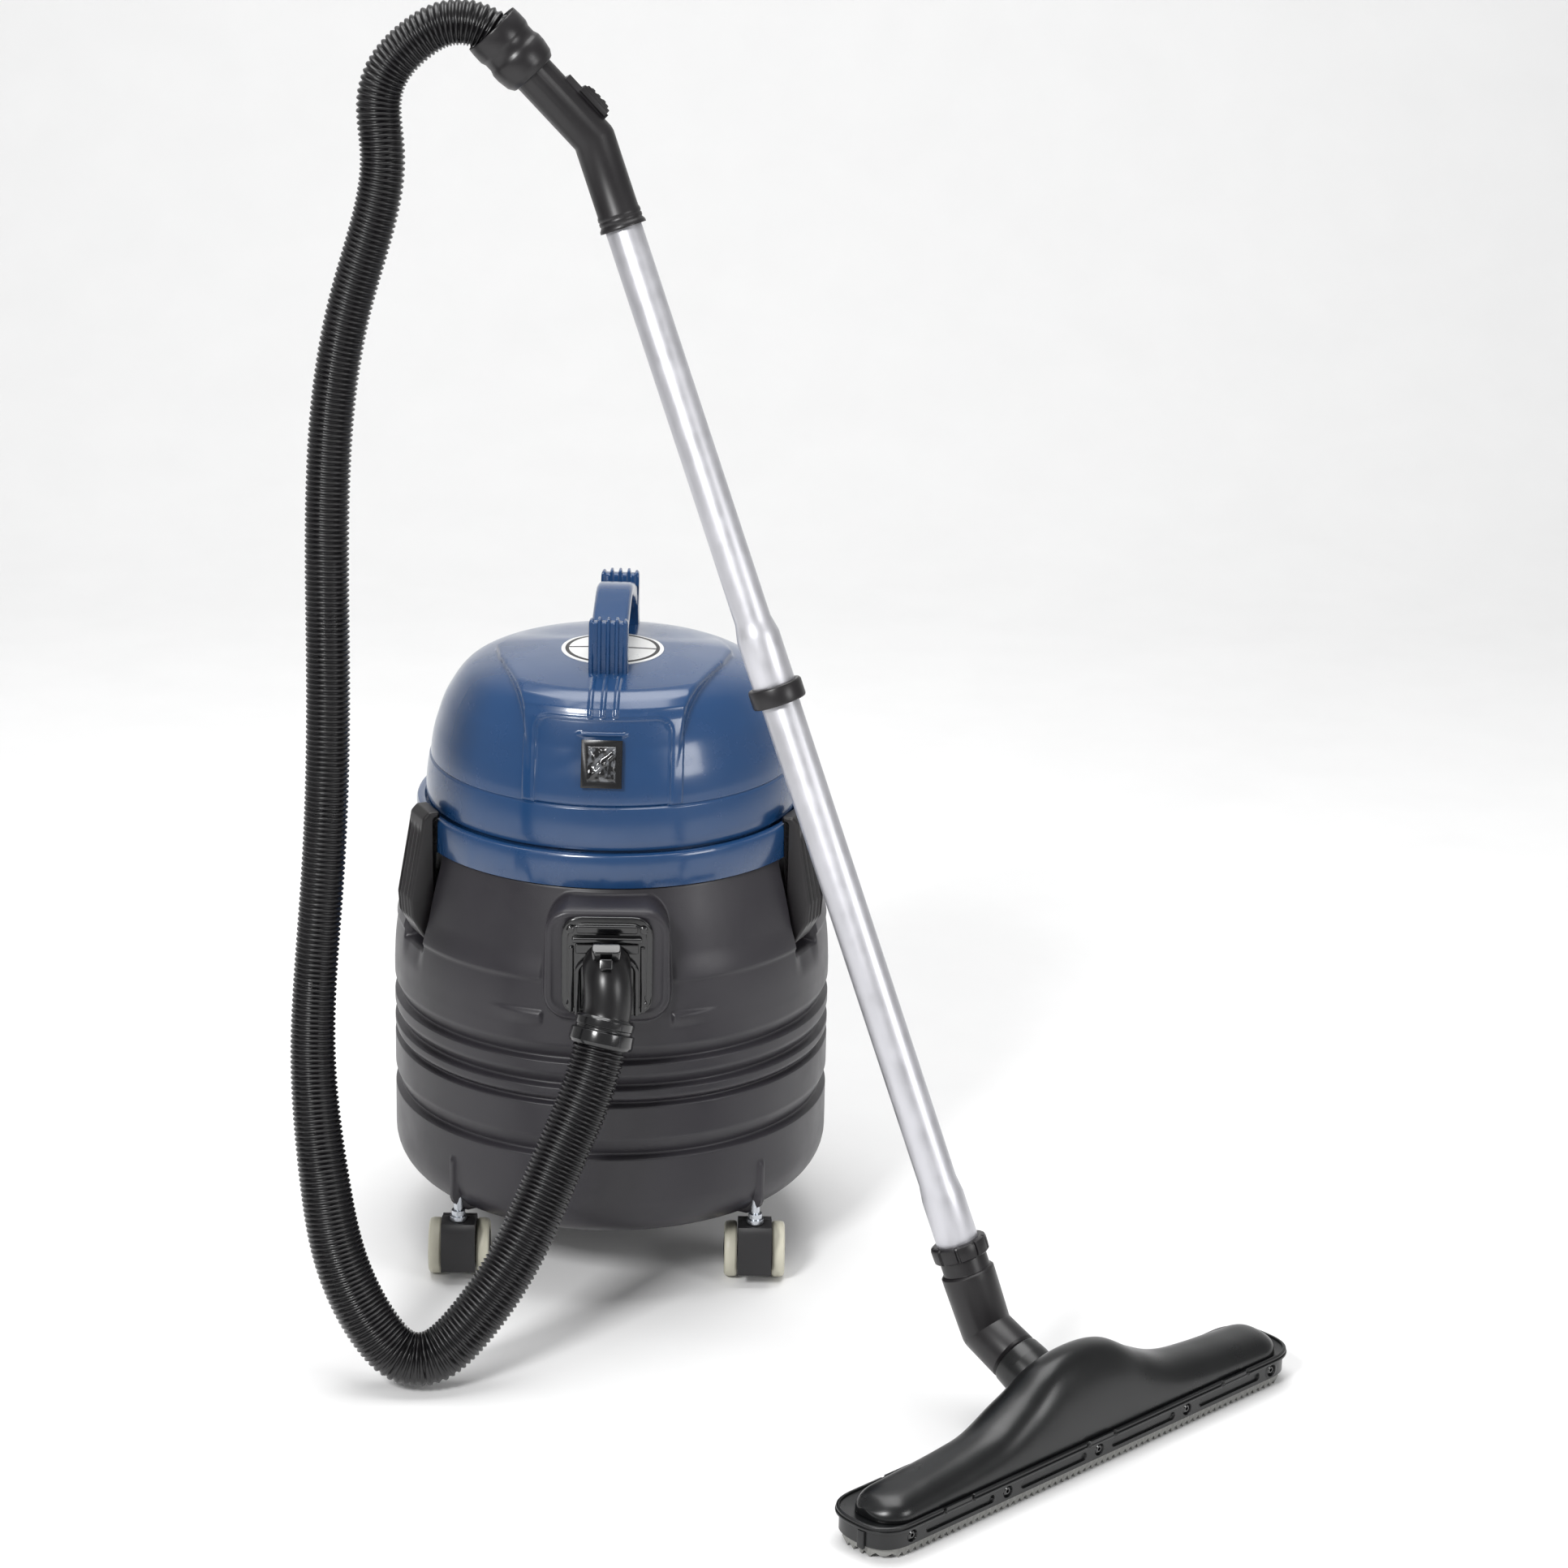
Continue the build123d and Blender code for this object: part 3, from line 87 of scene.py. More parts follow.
def smooth_curve(points, count):
    """Points evenly spread along a Catmull-Rom curve through the given ones."""
    p = np.array(points, float)
    p = np.vstack([2 * p[0] - p[1], p, 2 * p[-1] - p[-2]])
    fine = []
    for k in range(1, len(p) - 2):
        for t in np.linspace(0, 1, 24, endpoint=False):
            a, b, c, d = p[k - 1], p[k], p[k + 1], p[k + 2]
            bend, twist = 2 * a - 5 * b + 4 * c - d, 3 * b - a - 3 * c + d
            fine.append(0.5 * (2 * b + (c - a) * t + bend * t * t + twist * t ** 3))
    fine.append(p[-2])
    return spread(np.array(fine), count)


def spread(line, count):
    """The same line with its points spaced evenly."""
    steps = np.linalg.norm(np.diff(line, axis=0), axis=1)
    run = np.concatenate([[0], np.cumsum(steps)])
    wanted = np.linspace(0, run[-1], count)
    return np.stack([np.interp(wanted, run, line[:, k]) for k in range(line.shape[1])], axis=1)


def smooth_max(a, b, width):
    """Maximum with its crease rounded over a width; a negative width gives the minimum."""
    w = abs(width)
    blend = np.maximum(w - np.abs(a - b), 0) ** 2 / (4 * w)
    return np.maximum(a, b) + blend if width > 0 else np.minimum(a, b) - blend


def step(x):
    """Smooth rise from 0 to 1 while x goes from 0 to 1."""
    t = np.clip(x, 0, 1)
    return t * t * (3 - 2 * t)


def round_rect(x, y, half_w, half_h, corner):
    """Signed distance to a rounded rectangle's outline, negative inside."""
    dx, dy = np.abs(x) - half_w + corner, np.abs(y) - half_h + corner
    return np.hypot(np.maximum(dx, 0), np.maximum(dy, 0)) + np.minimum(np.maximum(dx, dy), 0) - corner


def axes_of(direction, across=None):
    """Three unit rows, the last along the direction."""
    w = Vector(direction).normalized()
    u = Vector(across) if across is not None else w.orthogonal()
    u = (u - w * u.dot(w)).normalized()
    return np.array([u, w.cross(u), w])


def grid(points, wrap_rows=False, wrap_cols=True):
    """Points and four-sided faces of a (rows, columns, 3) array."""
    rows, cols = points.shape[:2]
    i = np.arange(rows if wrap_rows else rows - 1)[:, None]
    j = np.arange(cols if wrap_cols else cols - 1)[None, :]
    i2, j2 = (i + 1) % rows, (j + 1) % cols
    faces = np.stack([i * cols + j, i * cols + j2, i2 * cols + j2, i2 * cols + j], axis=-1)
    return points.reshape(-1, 3), faces.reshape(-1, 4).tolist()


def loft(rows):
    """A row of closed sections joined into a solid, with a flat face at each end."""
    points, faces = grid(rows)
    sides = rows.shape[1]
    faces.append(list(range(sides)))
    faces.append([len(points) - sides + k for k in range(sides)][::-1])
    return points, faces


def outward_normals(outline):
    """Unit normals of a closed outline whose points run counterclockwise."""
    tangent = np.roll(outline, -1, axis=0) - np.roll(outline, 1, axis=0)
    normal = np.stack([tangent[:, 1], -tangent[:, 0]], axis=1)
    return normal / np.linalg.norm(normal, axis=1)[:, None]


def lathe(profile, origin=(0, 0, 0), direction=(0, 0, 1), radius=0.6, sides=96, steps=3):
    """A closed (radius, height) outline turned about an axis, its corners rounded."""
    outline = fillet(profile, radius, steps=steps)
    u, v, w = axes_of(direction)
    angle = np.arange(sides) / sides * TAU
    ring = np.cos(angle)[:, None] * u + np.sin(angle)[:, None] * v
    points = np.array(origin, float) + outline[:, 0, None, None] * ring + outline[:, 1, None, None] * w
    return grid(points, wrap_rows=True)


def slab(outline, origin, x_dir, y_dir, low, high, edge=0.8, steps=3):
    """A flat outline made thick between two heights above its plane, with rounded rims."""
    outline = np.array(outline, float)
    following = np.roll(outline, -1, axis=0)
    area = np.sum(outline[:, 0] * following[:, 1] - outline[:, 1] * following[:, 0])
    normal = outward_normals(outline) * (1 if area > 0 else -1)
    x, y = np.array(x_dir, float), np.array(y_dir, float)
    z = np.cross(x, y)
    quarter = np.linspace(0, math.pi / 2, steps + 1)
    rim = [(edge * (1 - math.sin(a)), edge * (1 - math.cos(a))) for a in quarter]
    levels = [(low + inset, rise) for rise, inset in rim] + [(high - rise, inset) for rise, inset in rim]
    rows = []
    for height, inset in levels:
        flat = outline - normal * inset
        rows.append(np.array(origin, float) + flat[:, :1] * x + flat[:, 1:] * y + height * z)
    return loft(np.array(rows))


def rect(width, height, corner=0.0, centre=(0, 0), steps=5):
    """Outline of a rounded rectangle."""
    w, h = width / 2, height / 2
    cx, cy = centre
    points = [(cx - w, cy - h), (cx + w, cy - h), (cx + w, cy + h), (cx - w, cy + h)]
    return fillet(points, corner, steps=steps) if corner else np.array(points, float)


def sweep(line, section, up):
    """A closed section, (side, up) points, carried along a line of points."""
    tangent = np.gradient(line, axis=0)
    tangent /= np.linalg.norm(tangent, axis=1)[:, None]
    side = np.cross(tangent, np.array(up, float))
    side /= np.linalg.norm(side, axis=1)[:, None]
    over = np.cross(side, tangent)
    return loft(line[:, None] + section[None, :, :1] * side[:, None] + section[None, :, 1:] * over[:, None])


def make_mesh(name, parts, turn=0.0):
    """One mesh in the frame from several (points, faces) parts in millimetres about the tank's axis."""
    points, faces, start = [], [], 0
    for part_points, part_faces in parts:
        points.append(np.asarray(part_points, float))
        faces += [[start + k for k in face] for face in part_faces]
        start += len(part_points)
    mesh = bpy.data.meshes.new(name)
    c, s = math.cos(turn), math.sin(turn)
    placed = np.vstack(points) @ np.array([(c, s, 0), (-s, c, 0), (0, 0, 1)]) * MM + AXIS
    mesh.from_pydata(placed.tolist(), [], faces)
    bm = bmesh.new()
    bm.from_mesh(mesh)
    bmesh.ops.remove_doubles(bm, verts=bm.verts, dist=1e-6)
    bmesh.ops.dissolve_degenerate(bm, edges=bm.edges, dist=1e-7)
    bmesh.ops.recalc_face_normals(bm, faces=bm.faces)
    bm.to_mesh(mesh)
    bm.free()
    return mesh


def piece(name, parts, body, slot, replaces=(), sharp=35.0):
    """A visible piece on a CAD body. Edges sharper than the angle stay crisp."""
    mesh = make_mesh(name, parts, HEAD_TURN if body in TURNED_BODIES else 0.0)
    mesh.materials.append(MATERIALS[slot])
    mesh.shade_smooth()
    mesh.set_sharp_from_angle(angle=math.radians(sharp))
    thing = bpy.data.objects.new(name, mesh)
    bpy.context.scene.collection.objects.link(thing)
    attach(thing, body)
    if replaces:
        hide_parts(*replaces)
    return thing


def round_edges(thing, width):
    """Round an object's sharp edges with a bevel modifier."""
    weld = thing.modifiers.new("weld", "WELD")
    weld.merge_threshold = 2e-6
    bevel = thing.modifiers.new("bevel", "BEVEL")
    bevel.width = width * MM
    bevel.segments = 2
    bevel.limit_method = "ANGLE"
    bevel.angle_limit = math.radians(38.0)
    bevel.harden_normals = True


# ------------------------------------------------------------------ materials
class Shader:
    """A small helper around one node material and its Principled shader."""

    def __init__(self, name):
        self.material = bpy.data.materials.new(name)
        self.material.use_nodes = True
        self.tree = self.material.node_tree
        self.bsdf = self.tree.nodes["Principled BSDF"]
        self.coords = self.add("ShaderNodeTexCoord").outputs["Object"]

    def add(self, kind, **settings):
        node = self.tree.nodes.new(kind)
        for key, value in settings.items():
            setattr(node, key, value)
        return node

    def link(self, source, target):
        self.tree.links.new(source, target)

    def put(self, **inputs):
        """Set plain values on the Principled shader, such as put(roughness=0.4)."""
        for key, value in inputs.items():
            self.bsdf.inputs[key.replace("_", " ").title().replace("Ior", "IOR")].default_value = value

    def noise(self, scale, detail=3.0, rough=0.5, stretch=(1, 1, 1)):
        mapping = self.add("ShaderNodeMapping")
        mapping.inputs["Scale"].default_value = stretch
        self.link(self.coords, mapping.inputs["Vector"])
        node = self.add("ShaderNodeTexNoise")
        node.inputs["Scale"].default_value = scale
        node.inputs["Detail"].default_value = detail
        node.inputs["Roughness"].default_value = rough
        self.link(mapping.outputs["Vector"], node.inputs["Vector"])
        return node.outputs["Fac"]

    def ramp(self, fac, low, high, start=0.3, end=0.7):
        """Map a factor onto two colours, or onto two numbers."""
        node = self.add("ShaderNodeValToRGB")
        as_colour = [c if isinstance(c, (tuple, list)) else (c, c, c) for c in (low, high)]
        node.color_ramp.elements[0].position = start
        node.color_ramp.elements[1].position = end
        node.color_ramp.elements[0].color = (*as_colour[0][:3], 1)
        node.color_ramp.elements[1].color = (*as_colour[1][:3], 1)
        self.link(fac, node.inputs["Fac"])
        return node.outputs["Color"]

    def bump(self, height, strength, distance, after=None):
        node = self.add("ShaderNodeBump")
        node.inputs["Strength"].default_value = strength
        node.inputs["Distance"].default_value = distance
        self.link(height, node.inputs["Height"])
        if after is not None:
            self.link(after, node.inputs["Normal"])
        return node.outputs["Normal"]

    def finish(self, colour, rough, normal=None):
        self.link(colour, self.bsdf.inputs["Base Color"])
        self.link(rough, self.bsdf.inputs["Roughness"])
        if normal is not None:
            self.link(normal, self.bsdf.inputs["Normal"])
        return self.material


def srgb(r, g, b):
    """Linear colour of an 8-bit sRGB triple."""
    return tuple(((c / 255 + 0.055) / 1.055) ** 2.4 if c > 10 else c / 255 / 12.92 for c in (r, g, b))


def shade(colour, factor):
    return tuple(min(1.0, c * factor) for c in colour)


def moulded(name, colour, rough, grain=1500.0, grain_depth=0.05, mottle=0.12, coat=0.0):
    """A moulded material: faint mottling of its colour and gloss, fine surface grain and slight waviness."""
    s = Shader(name)
    tone = s.ramp(s.noise(9.0, 4.0), shade(colour, 1 - mottle), shade(colour, 1 + mottle))
    roughness = s.ramp(s.noise(22.0, 5.0, 0.6), rough - 0.05, rough + 0.07)
    normal = s.bump(s.noise(grain, 2.0), grain_depth, 0.0004)
    normal = s.bump(s.noise(14.0, 2.0), 0.06, 0.002, normal)
    s.put(coat_weight=coat, coat_roughness=0.12, specular_ior_level=0.5)
    return s.finish(tone, roughness, normal)


def bare_metal(name, colour, rough, metallic=1.0):
    """Metal with a slightly uneven colour and gloss."""
    s = Shader(name)
    s.put(metallic=metallic)
    tone = s.ramp(s.noise(30.0, 3.0), shade(colour, 0.94), shade(colour, 1.03))
    return s.finish(tone, s.ramp(s.noise(60.0, 3.0), rough - 0.05, rough + 0.06))


def clear_film(name):
    """Thin clear plastic, crumpled, with painted highlights along its creases over a dark ground."""
    s = Shader(name)
    s.put(transmission_weight=0.55, ior=1.45, coat_weight=1.0)
    # Painted highlights: the bright streaks along the creases are put into the base colour, over the dark
    # ground.
    painted_crease_highlights = s.noise(190.0, 2.0, 0.5, (1, 1, 0.7))
    tone = s.ramp(painted_crease_highlights, (0.005, 0.005, 0.006), (0.22, 0.23, 0.25), 0.47, 0.58)
    crumple = s.bump(s.noise(120.0, 1.0), 0.9, 0.004)
    return s.finish(tone, s.ramp(s.noise(40.0), 0.08, 0.16), crumple)


# Colour in 8-bit sRGB and roughness of each moulded material.
MOULDED = {
    "black_plastic": ((25, 23, 25), 0.36), "hose_plastic": ((14, 13, 15), 0.3),
    "hood_plastic": ((30, 29, 31), 0.5), "tool_plastic": ((15, 16, 17), 0.3),
    "deck_grey": ((84, 84, 86), 0.5), "tyre_cream": ((196, 193, 176), 0.45),
    "float_white": ((225, 225, 220), 0.35), "seal_rubber": ((24, 24, 24), 0.7),
    "strip_rubber": ((128, 128, 125), 0.5), "switch_black": ((20, 20, 22), 0.25),
    "badge_white": ((222, 222, 220), 0.3), "filter_cloth": ((214, 210, 196), 0.9),
    "foam": ((56, 56, 58), 0.95),
}
METALS = {
    "zinc": ((196, 200, 206), 0.28), "steel": ((160, 160, 165), 0.3), "motor_metal": ((180, 182, 186), 0.4),
}
PAPER_WHITE = (0.87, 0.87, 0.87)
MATERIALS = {}


def build_materials():
    """Fill the table of materials: the plain ones from their tables, the others one by one."""
    for name, (colour, rough) in MOULDED.items():
        MATERIALS[name] = moulded(name, srgb(*colour), rough)
    for name, (colour, rough) in METALS.items():
        MATERIALS[name] = bare_metal(name, srgb(*colour), rough)
    MATERIALS["wand_aluminium"] = bare_metal("wand_aluminium", srgb(212, 212, 217), 0.42, metallic=0.85)
    MATERIALS["tank_plastic"] = moulded("tank_plastic", srgb(43, 41, 46), 0.38, 900, 0.12, mottle=0.06)
    MATERIALS["blue_gloss"] = moulded("blue_gloss", srgb(26, 62, 104), 0.24, 420, 0.03, mottle=0.04, coat=0.5)
    MATERIALS["black_gloss"] = moulded("black_gloss", srgb(11, 11, 13), 0.16, grain_depth=0.02, coat=0.6)
    MATERIALS["paper"] = moulded("paper", PAPER_WHITE, 0.75, 60, 0.0, mottle=0.01)
    MATERIALS["clear_cover"] = clear_film("clear_cover")


# CAD nodes that look different from their material slot.
NODE_FINISH = {"tool_screws": "black_gloss", "inlet_screws": "black_gloss", "inlet_elbow": "hose_plastic"}


def dress_cad_nodes():
    """Give every CAD node the material of its slot."""
    for entry in frame["record"]["subparts"]:
        node = NODES[entry["node"]]
        slot = NODE_FINISH.get(entry["node"], entry["material_slot"])
        node.data.materials.clear()
        node.data.materials.append(MATERIALS[slot])


# ------------------------------------------------------------------ hose
HOSE_CAD_R = 20.0
HOSE_SLACK_R, HOSE_SLIM_R = 22.9, 18.2      # in the slack loop, and on the long stretched side
HOSE_PITCH, HOSE_RIB = 4.3, 2.2
INLET_END, INLET_HEADING = np.array([-1.8, -244.4, 285.0]), np.array([-0.20, -0.33, -0.92])
SLICE_STRIDE = 3.0


def cad_edges(node):
    """End points of a CAD node's edges, in millimetres."""
    mesh = NODES[node].data
    points = np.zeros(len(mesh.vertices) * 3)
    mesh.vertices.foreach_get("co", points)
    pairs = np.zeros(len(mesh.edges) * 2, int)
    mesh.edges.foreach_get("vertices", pairs)
    return (points.reshape(-1, 3)[pairs.reshape(-1, 2)] - AXIS) / MM


def circle_centre(points, normal):
    """Centre of the circle that best fits points lying in a plane."""
    u, v, _ = axes_of(normal)
    origin = points.mean(axis=0)
    x, y = (points - origin) @ u, (points - origin) @ v
    fit = np.linalg.lstsq(np.stack([x, y, np.ones_like(x)], axis=1), x * x + y * y, rcond=None)[0]
    return origin + fit[0] / 2 * u + fit[1] / 2 * v


def hose_line():
    """Centre line of the hose, found by slicing the CAD tube from its inlet end to its top end."""
    ends = cad_edges("hose")
    heading = INLET_HEADING / np.linalg.norm(INLET_HEADING)
    line, here = [], INLET_END
    for _ in range(1200):
        side = (ends - here) @ heading
        crossing = side[:, 0] * side[:, 1] < 0
        if not crossing.any():
            break
        near = ends[crossing]
        share = (side[crossing, 0] / (side[crossing, 0] - side[crossing, 1]))[:, None]
        cut = near[:, 0] + (near[:, 1] - near[:, 0]) * share
        reach = np.linalg.norm(cut - here, axis=1)
        outer = cut[(reach > 17.5) & (reach < 25)]
        if len(outer) < 6:
            break
        centre = circle_centre(outer, heading)
        if np.linalg.norm(centre - here) > 4:
            break
        line.append(centre)
        if len(line) > 1:
            last = line[-1] - line[max(0, len(line) - 4)]
            heading = 0.4 * heading + 0.6 * last / np.linalg.norm(last)
            heading /= np.linalg.norm(heading)
        here = centre + heading * SLICE_STRIDE
    return np.array(line)


def smoothed(line):
    """The same line with the small steps between its slices evened out."""
    for _ in range(6):
        line = np.vstack([line[:1], (line[:-2] + 2 * line[1:-1] + line[2:]) / 4, line[-1:]])
    return line


def carried_frame(line):
    """Two unit directions across a line, carried along it without twisting."""
    tangent = np.gradient(line, axis=0)
    tangent /= np.linalg.norm(tangent, axis=1)[:, None]
    over = np.zeros_like(line)
    over[0] = axes_of(tangent[0])[0]
    for k in range(1, len(line)):
        carried = over[k - 1] - tangent[k] * (over[k - 1] @ tangent[k])
        over[k] = carried / np.linalg.norm(carried)
    return np.cross(tangent, over), over


def build_hose():
    """A helically ribbed tube along the CAD hose's centre line, wider where it hangs slack."""
    line = smoothed(hose_line())
    length = np.linalg.norm(np.diff(line, axis=0), axis=1).sum()
    per_turn, sides = 6, 30
    count = int(length / HOSE_PITCH * per_turn)
    line = spread(line, count)
    side, over = carried_frame(line)
    angle = np.arange(sides) / sides * TAU
    run = np.linspace(0, length, count)[:, None]
    slack = 1 - step((run / length - 0.24) / 0.22)
    widest = HOSE_SLIM_R + (HOSE_SLACK_R - HOSE_SLIM_R) * slack
    # The wider loop is raised by as much, so that it still rests on the floor.
    line[:, 2] += (HOSE_SLACK_R - HOSE_CAD_R) * slack[:, 0] * step((run[:, 0] - 60) / 120)
    wave = np.cos(TAU * run / HOSE_PITCH + angle[None, :])
    radius = widest - HOSE_RIB * (0.5 - 0.5 * wave) ** 1.3
    ring = np.cos(angle)[None, :, None] * over[:, None] + np.sin(angle)[None, :, None] * side[:, None]
    tube = loft(line[:, None] + radius[..., None] * ring)
    piece("hose_corrugated", [tube], "tank", "hose_plastic", ["hose"], sharp=75)


# ------------------------------------------------------------------ dome
DOME_CENTRE_Z = 455.0       # bearings and elevations on the dome are taken from here
SEAM_Z, DOME_LOW_Z = 455.0, 419.0
DOME_WALL = 3.2
FACET_HALF, FACET_EDGE = 61.0, 73.0     # half the front of the raised block, and just past its creases
FACET_R = 151.0                         # radius of the dome at the height of the switch
CREASE_X = 69.0
PANEL_HALF, PANEL_TOP_Z, PANEL_CORNER = 58.0, 529.0, 13.0
CROWN_R = np.linspace(0, 134, 40)
CROWN_Z = 557.2 - 0.00056 * CROWN_R ** 2
SKIN = [(162.4, 455.5), (161, 468), (157, 485), (147, 511), (127, 535.5), (88, 549), (40, 554.7), (0, 556)]
BLOCK = [(162.3, 456), (158.8, 470), (151.5, 505), (142.2, 537, 2), (135, 543.5, 16), (124, 548.6)]
BLOCK_PLAN_RIGHT = [(FACET_HALF, -152), (98, -34), (104, 0), (98, 34), (FACET_HALF, 152)]


def ray_table(outline):
    """Distance from the dome's centre to a revolved outline, by elevation."""
    rise = outline[:, 1] - DOME_CENTRE_Z
    order = np.argsort(np.arctan2(rise, outline[:, 0]))
    return np.arctan2(rise, outline[:, 0])[order], np.hypot(outline[:, 0], rise)[order]


def plan_reach(right_half, to_right, to_back):
    """Distance from the axis to a plan outline, symmetric about the axis, along horizontal directions."""
    corners = right_half + [(-x, -y) for x, y in right_half]
    reach = np.full_like(to_right, 1e6)
    for (ax, ay), (bx, by) in zip(corners, corners[1:] + corners[:1]):
        nx, ny = by - ay, ax - bx
        size = math.hypot(nx, ny)
        away = (nx * ax + ny * ay) / size
        toward = (to_right * nx + to_back * ny) / size
        reach = np.where(toward > 1e-3, np.minimum(reach, away / np.maximum(toward, 1e-3)), reach)
    return reach


def dome_distance(around, up):
    """Distance from the dome's centre to its outside, for bearings from the front and elevations."""
    skin = np.vstack([[(165.9, DOME_LOW_Z), (165.7, 430), (162.5, SEAM_Z)], smooth_curve(SKIN, 160)])
    block = np.vstack([
        [(165.0, 430), (162.6, SEAM_Z)],
        fillet(BLOCK, 14, closed=False, steps=8),
        np.stack([CROWN_R, CROWN_Z], axis=1)[-5::-1],
    ])
    on_skin = np.interp(up, *ray_table(skin))
    on_block = np.interp(up, *ray_table(block))
    to_right, to_back = np.sin(around), -np.cos(around)
    prism = plan_reach(BLOCK_PLAN_RIGHT, to_right, to_back) / np.maximum(np.cos(up), 0.02)
    raised = smooth_max(on_block, prism, -3.0)
    # The raised block fades into the plain skin towards the rear.
    rear = step(to_back / 0.7) * step((1.45 - up) / 0.4)
    raised = raised + (on_skin - 1.0 - raised) * rear
    return np.where(up > 0.004, smooth_max(on_skin, raised, 1.2), on_skin)


def dome_details(x, y, z):
    """Height of the dome's small features above its plain surface."""
    front = (y < -60).astype(float)
    # The sunk front panel and the fine groove round it.
    panel = round_rect(x, z - 485, PANEL_HALF, PANEL_TOP_Z - 485, PANEL_CORNER)
    height = -1.6 * step(-panel / 1.4) * (z > SEAM_Z + 0.6) * front
    height -= 0.8 * np.exp(-((panel - 0.9) / 0.8) ** 2) * (z > SEAM_Z + 2) * front
    # The band below the seam, the raised facet of the block, and the seam itself.
    height += 0.7 * step((SEAM_Z - 0.2 - z) / 0.8) * step((z - DOME_LOW_Z) / 4)
    facet = step((CREASE_X - np.abs(x)) / 1.2) * step((z - SEAM_Z - 1) / 2) * step((536 - z) / 10) * front
    height += 1.4 * facet
    height -= 0.7 * np.exp(-((z - SEAM_Z - 0.5) / 0.6) ** 2)
    # Three ribs in front of the handle, and the ledge over the switch.
    for rib_x in (-11, 0, 11):
        height += 1.7 * step((2.2 - np.abs(x - rib_x)) / 1.2) * step((-92 - y) / 3) * step((z - 528) / 5)
    ledge = round_rect(x, z - 517.0, 21.0, 1.6, 1.2)
    height += 1.8 * step(-ledge / 1.0 + 0.5) * front
    return height


def dome_bearings(row_r):
    """Bearings for each row: close together in x over the front's details, evenly spread elsewhere."""
    front = np.concatenate([
        np.linspace(0, 16, 21), np.linspace(17, 55, 20), np.linspace(56, 61, 10), np.linspace(62, 65, 4),
        np.linspace(65.5, FACET_EDGE, 14),
    ])
    over_front = np.arcsin(np.clip(front[None, :] / np.maximum(row_r, 133)[:, None], -1, 1))
    last = over_front[:, -1:]
    share = np.linspace(0, 1, 122)[1:-1]
    right = np.hstack([over_front, last + share[None, :] * (math.pi - last)])
    return np.hstack([right, np.full((len(row_r), 1), math.pi), -right[:, :0:-1]])


def dome_points(around, lift, distance):
    """Points at bearings, elevations and distances from the dome's centre."""
    flat = distance * np.cos(lift)
    height = DOME_CENTRE_Z + distance * np.sin(lift)
    return np.stack([flat * np.sin(around), -flat * np.cos(around), height], axis=-1)


def tip_of(row):
    """A row of as many points as the given one, all at its middle on the axis."""
    return np.tile(np.array([0, 0, row[:, 2].mean()]), (1, len(row), 1))


def build_dome():
    """The hollow cap, its rows running from the lower edge to the crown."""
    levels = np.concatenate([
        np.linspace(DOME_LOW_Z, 452, 9), np.linspace(453, 458, 13), np.linspace(460, 512, 22),
        np.linspace(514, 520, 9), np.linspace(522, 546, 34),
    ])
    face_r = np.interp(levels, [455, 470, 505, 537, 546], [162.5, 158.5, FACET_R, 141.5, 136])
    radii = np.linspace(133, 1.2, 42)
    row_r = np.concatenate([face_r, radii])
    row_z = np.concatenate([levels, np.interp(radii, CROWN_R, CROWN_Z)])
    around = dome_bearings(row_r)
    lift = np.tile(np.arctan2(row_z - DOME_CENTRE_Z, row_r)[:, None], (1, around.shape[1]))
    reach = dome_distance(around, lift)
    x, y, z = np.moveaxis(dome_points(around, lift, reach), -1, 0)
    reach = reach + dome_details(x, y, z)
    outside = dome_points(around, lift, reach)
    inside = dome_points(around[::6], lift[::6], reach[::6] - DOME_WALL)[::-1]
    shell = np.concatenate([tip_of(inside[0]), inside, outside, tip_of(outside[-1])])
    dome = piece("dome_cover", [grid(shell)], "head", "blue_gloss", ["head_dome"], sharp=60)
    cut_openings(dome)


def box_part(x, y, z):
    """A plain block between two limits along each axis."""
    points = [(a, b, c) for a in x for b in y for c in z]
    return points, [(0, 1, 3, 2), (4, 6, 7, 5), (0, 4, 5, 1), (2, 3, 7, 6), (0, 2, 6, 4), (1, 5, 7, 3)]


def cut_openings(dome):
    """Cut the exhaust, the power inlet and the switch's window out of the dome."""
    mesh = make_mesh("dome_windows", [
        box_part((-40, 40), (120, 180), (488, 512)),
        box_part((-13.5, 13.5), (120, 185), (429, 451)),
        box_part((-13.5, 13.5), (-175, -120), (475, 511)),
    ], HEAD_TURN)
    cutter = bpy.data.objects.new("dome_windows", mesh)
    bpy.context.scene.collection.objects.link(cutter)
    cut = dome.modifiers.new("openings", "BOOLEAN")
    cut.object = cutter
    cut.solver = "EXACT"
    apply_modifiers(dome)
    bpy.data.objects.remove(cutter)


def apply_modifiers(thing):
    """Bake an object's modifiers into its mesh."""
    graph = bpy.context.evaluated_depsgraph_get()
    final = thing.evaluated_get(graph)
    baked = bpy.data.meshes.new_from_object(final, preserve_all_data_layers=True, depsgraph=graph)
    thing.modifiers.clear()
    thing.data = baked


# ------------------------------------------------------------------ carrying handle
ARCH_END = 74.0         # the arch ends here at the ribbed block of each foot
HANDLE_HALF, HANDLE_CORNER = 17.0, 4.5
RIB_GROOVES = (-11.4, -3.8, 3.8, 11.4)


def mirrored_arch(front_half, top):
    """Points of a side outline from its front half and the height of its middle."""
    return front_half + [(0, top)] + [(-y, z) for y, z in reversed(front_half)]


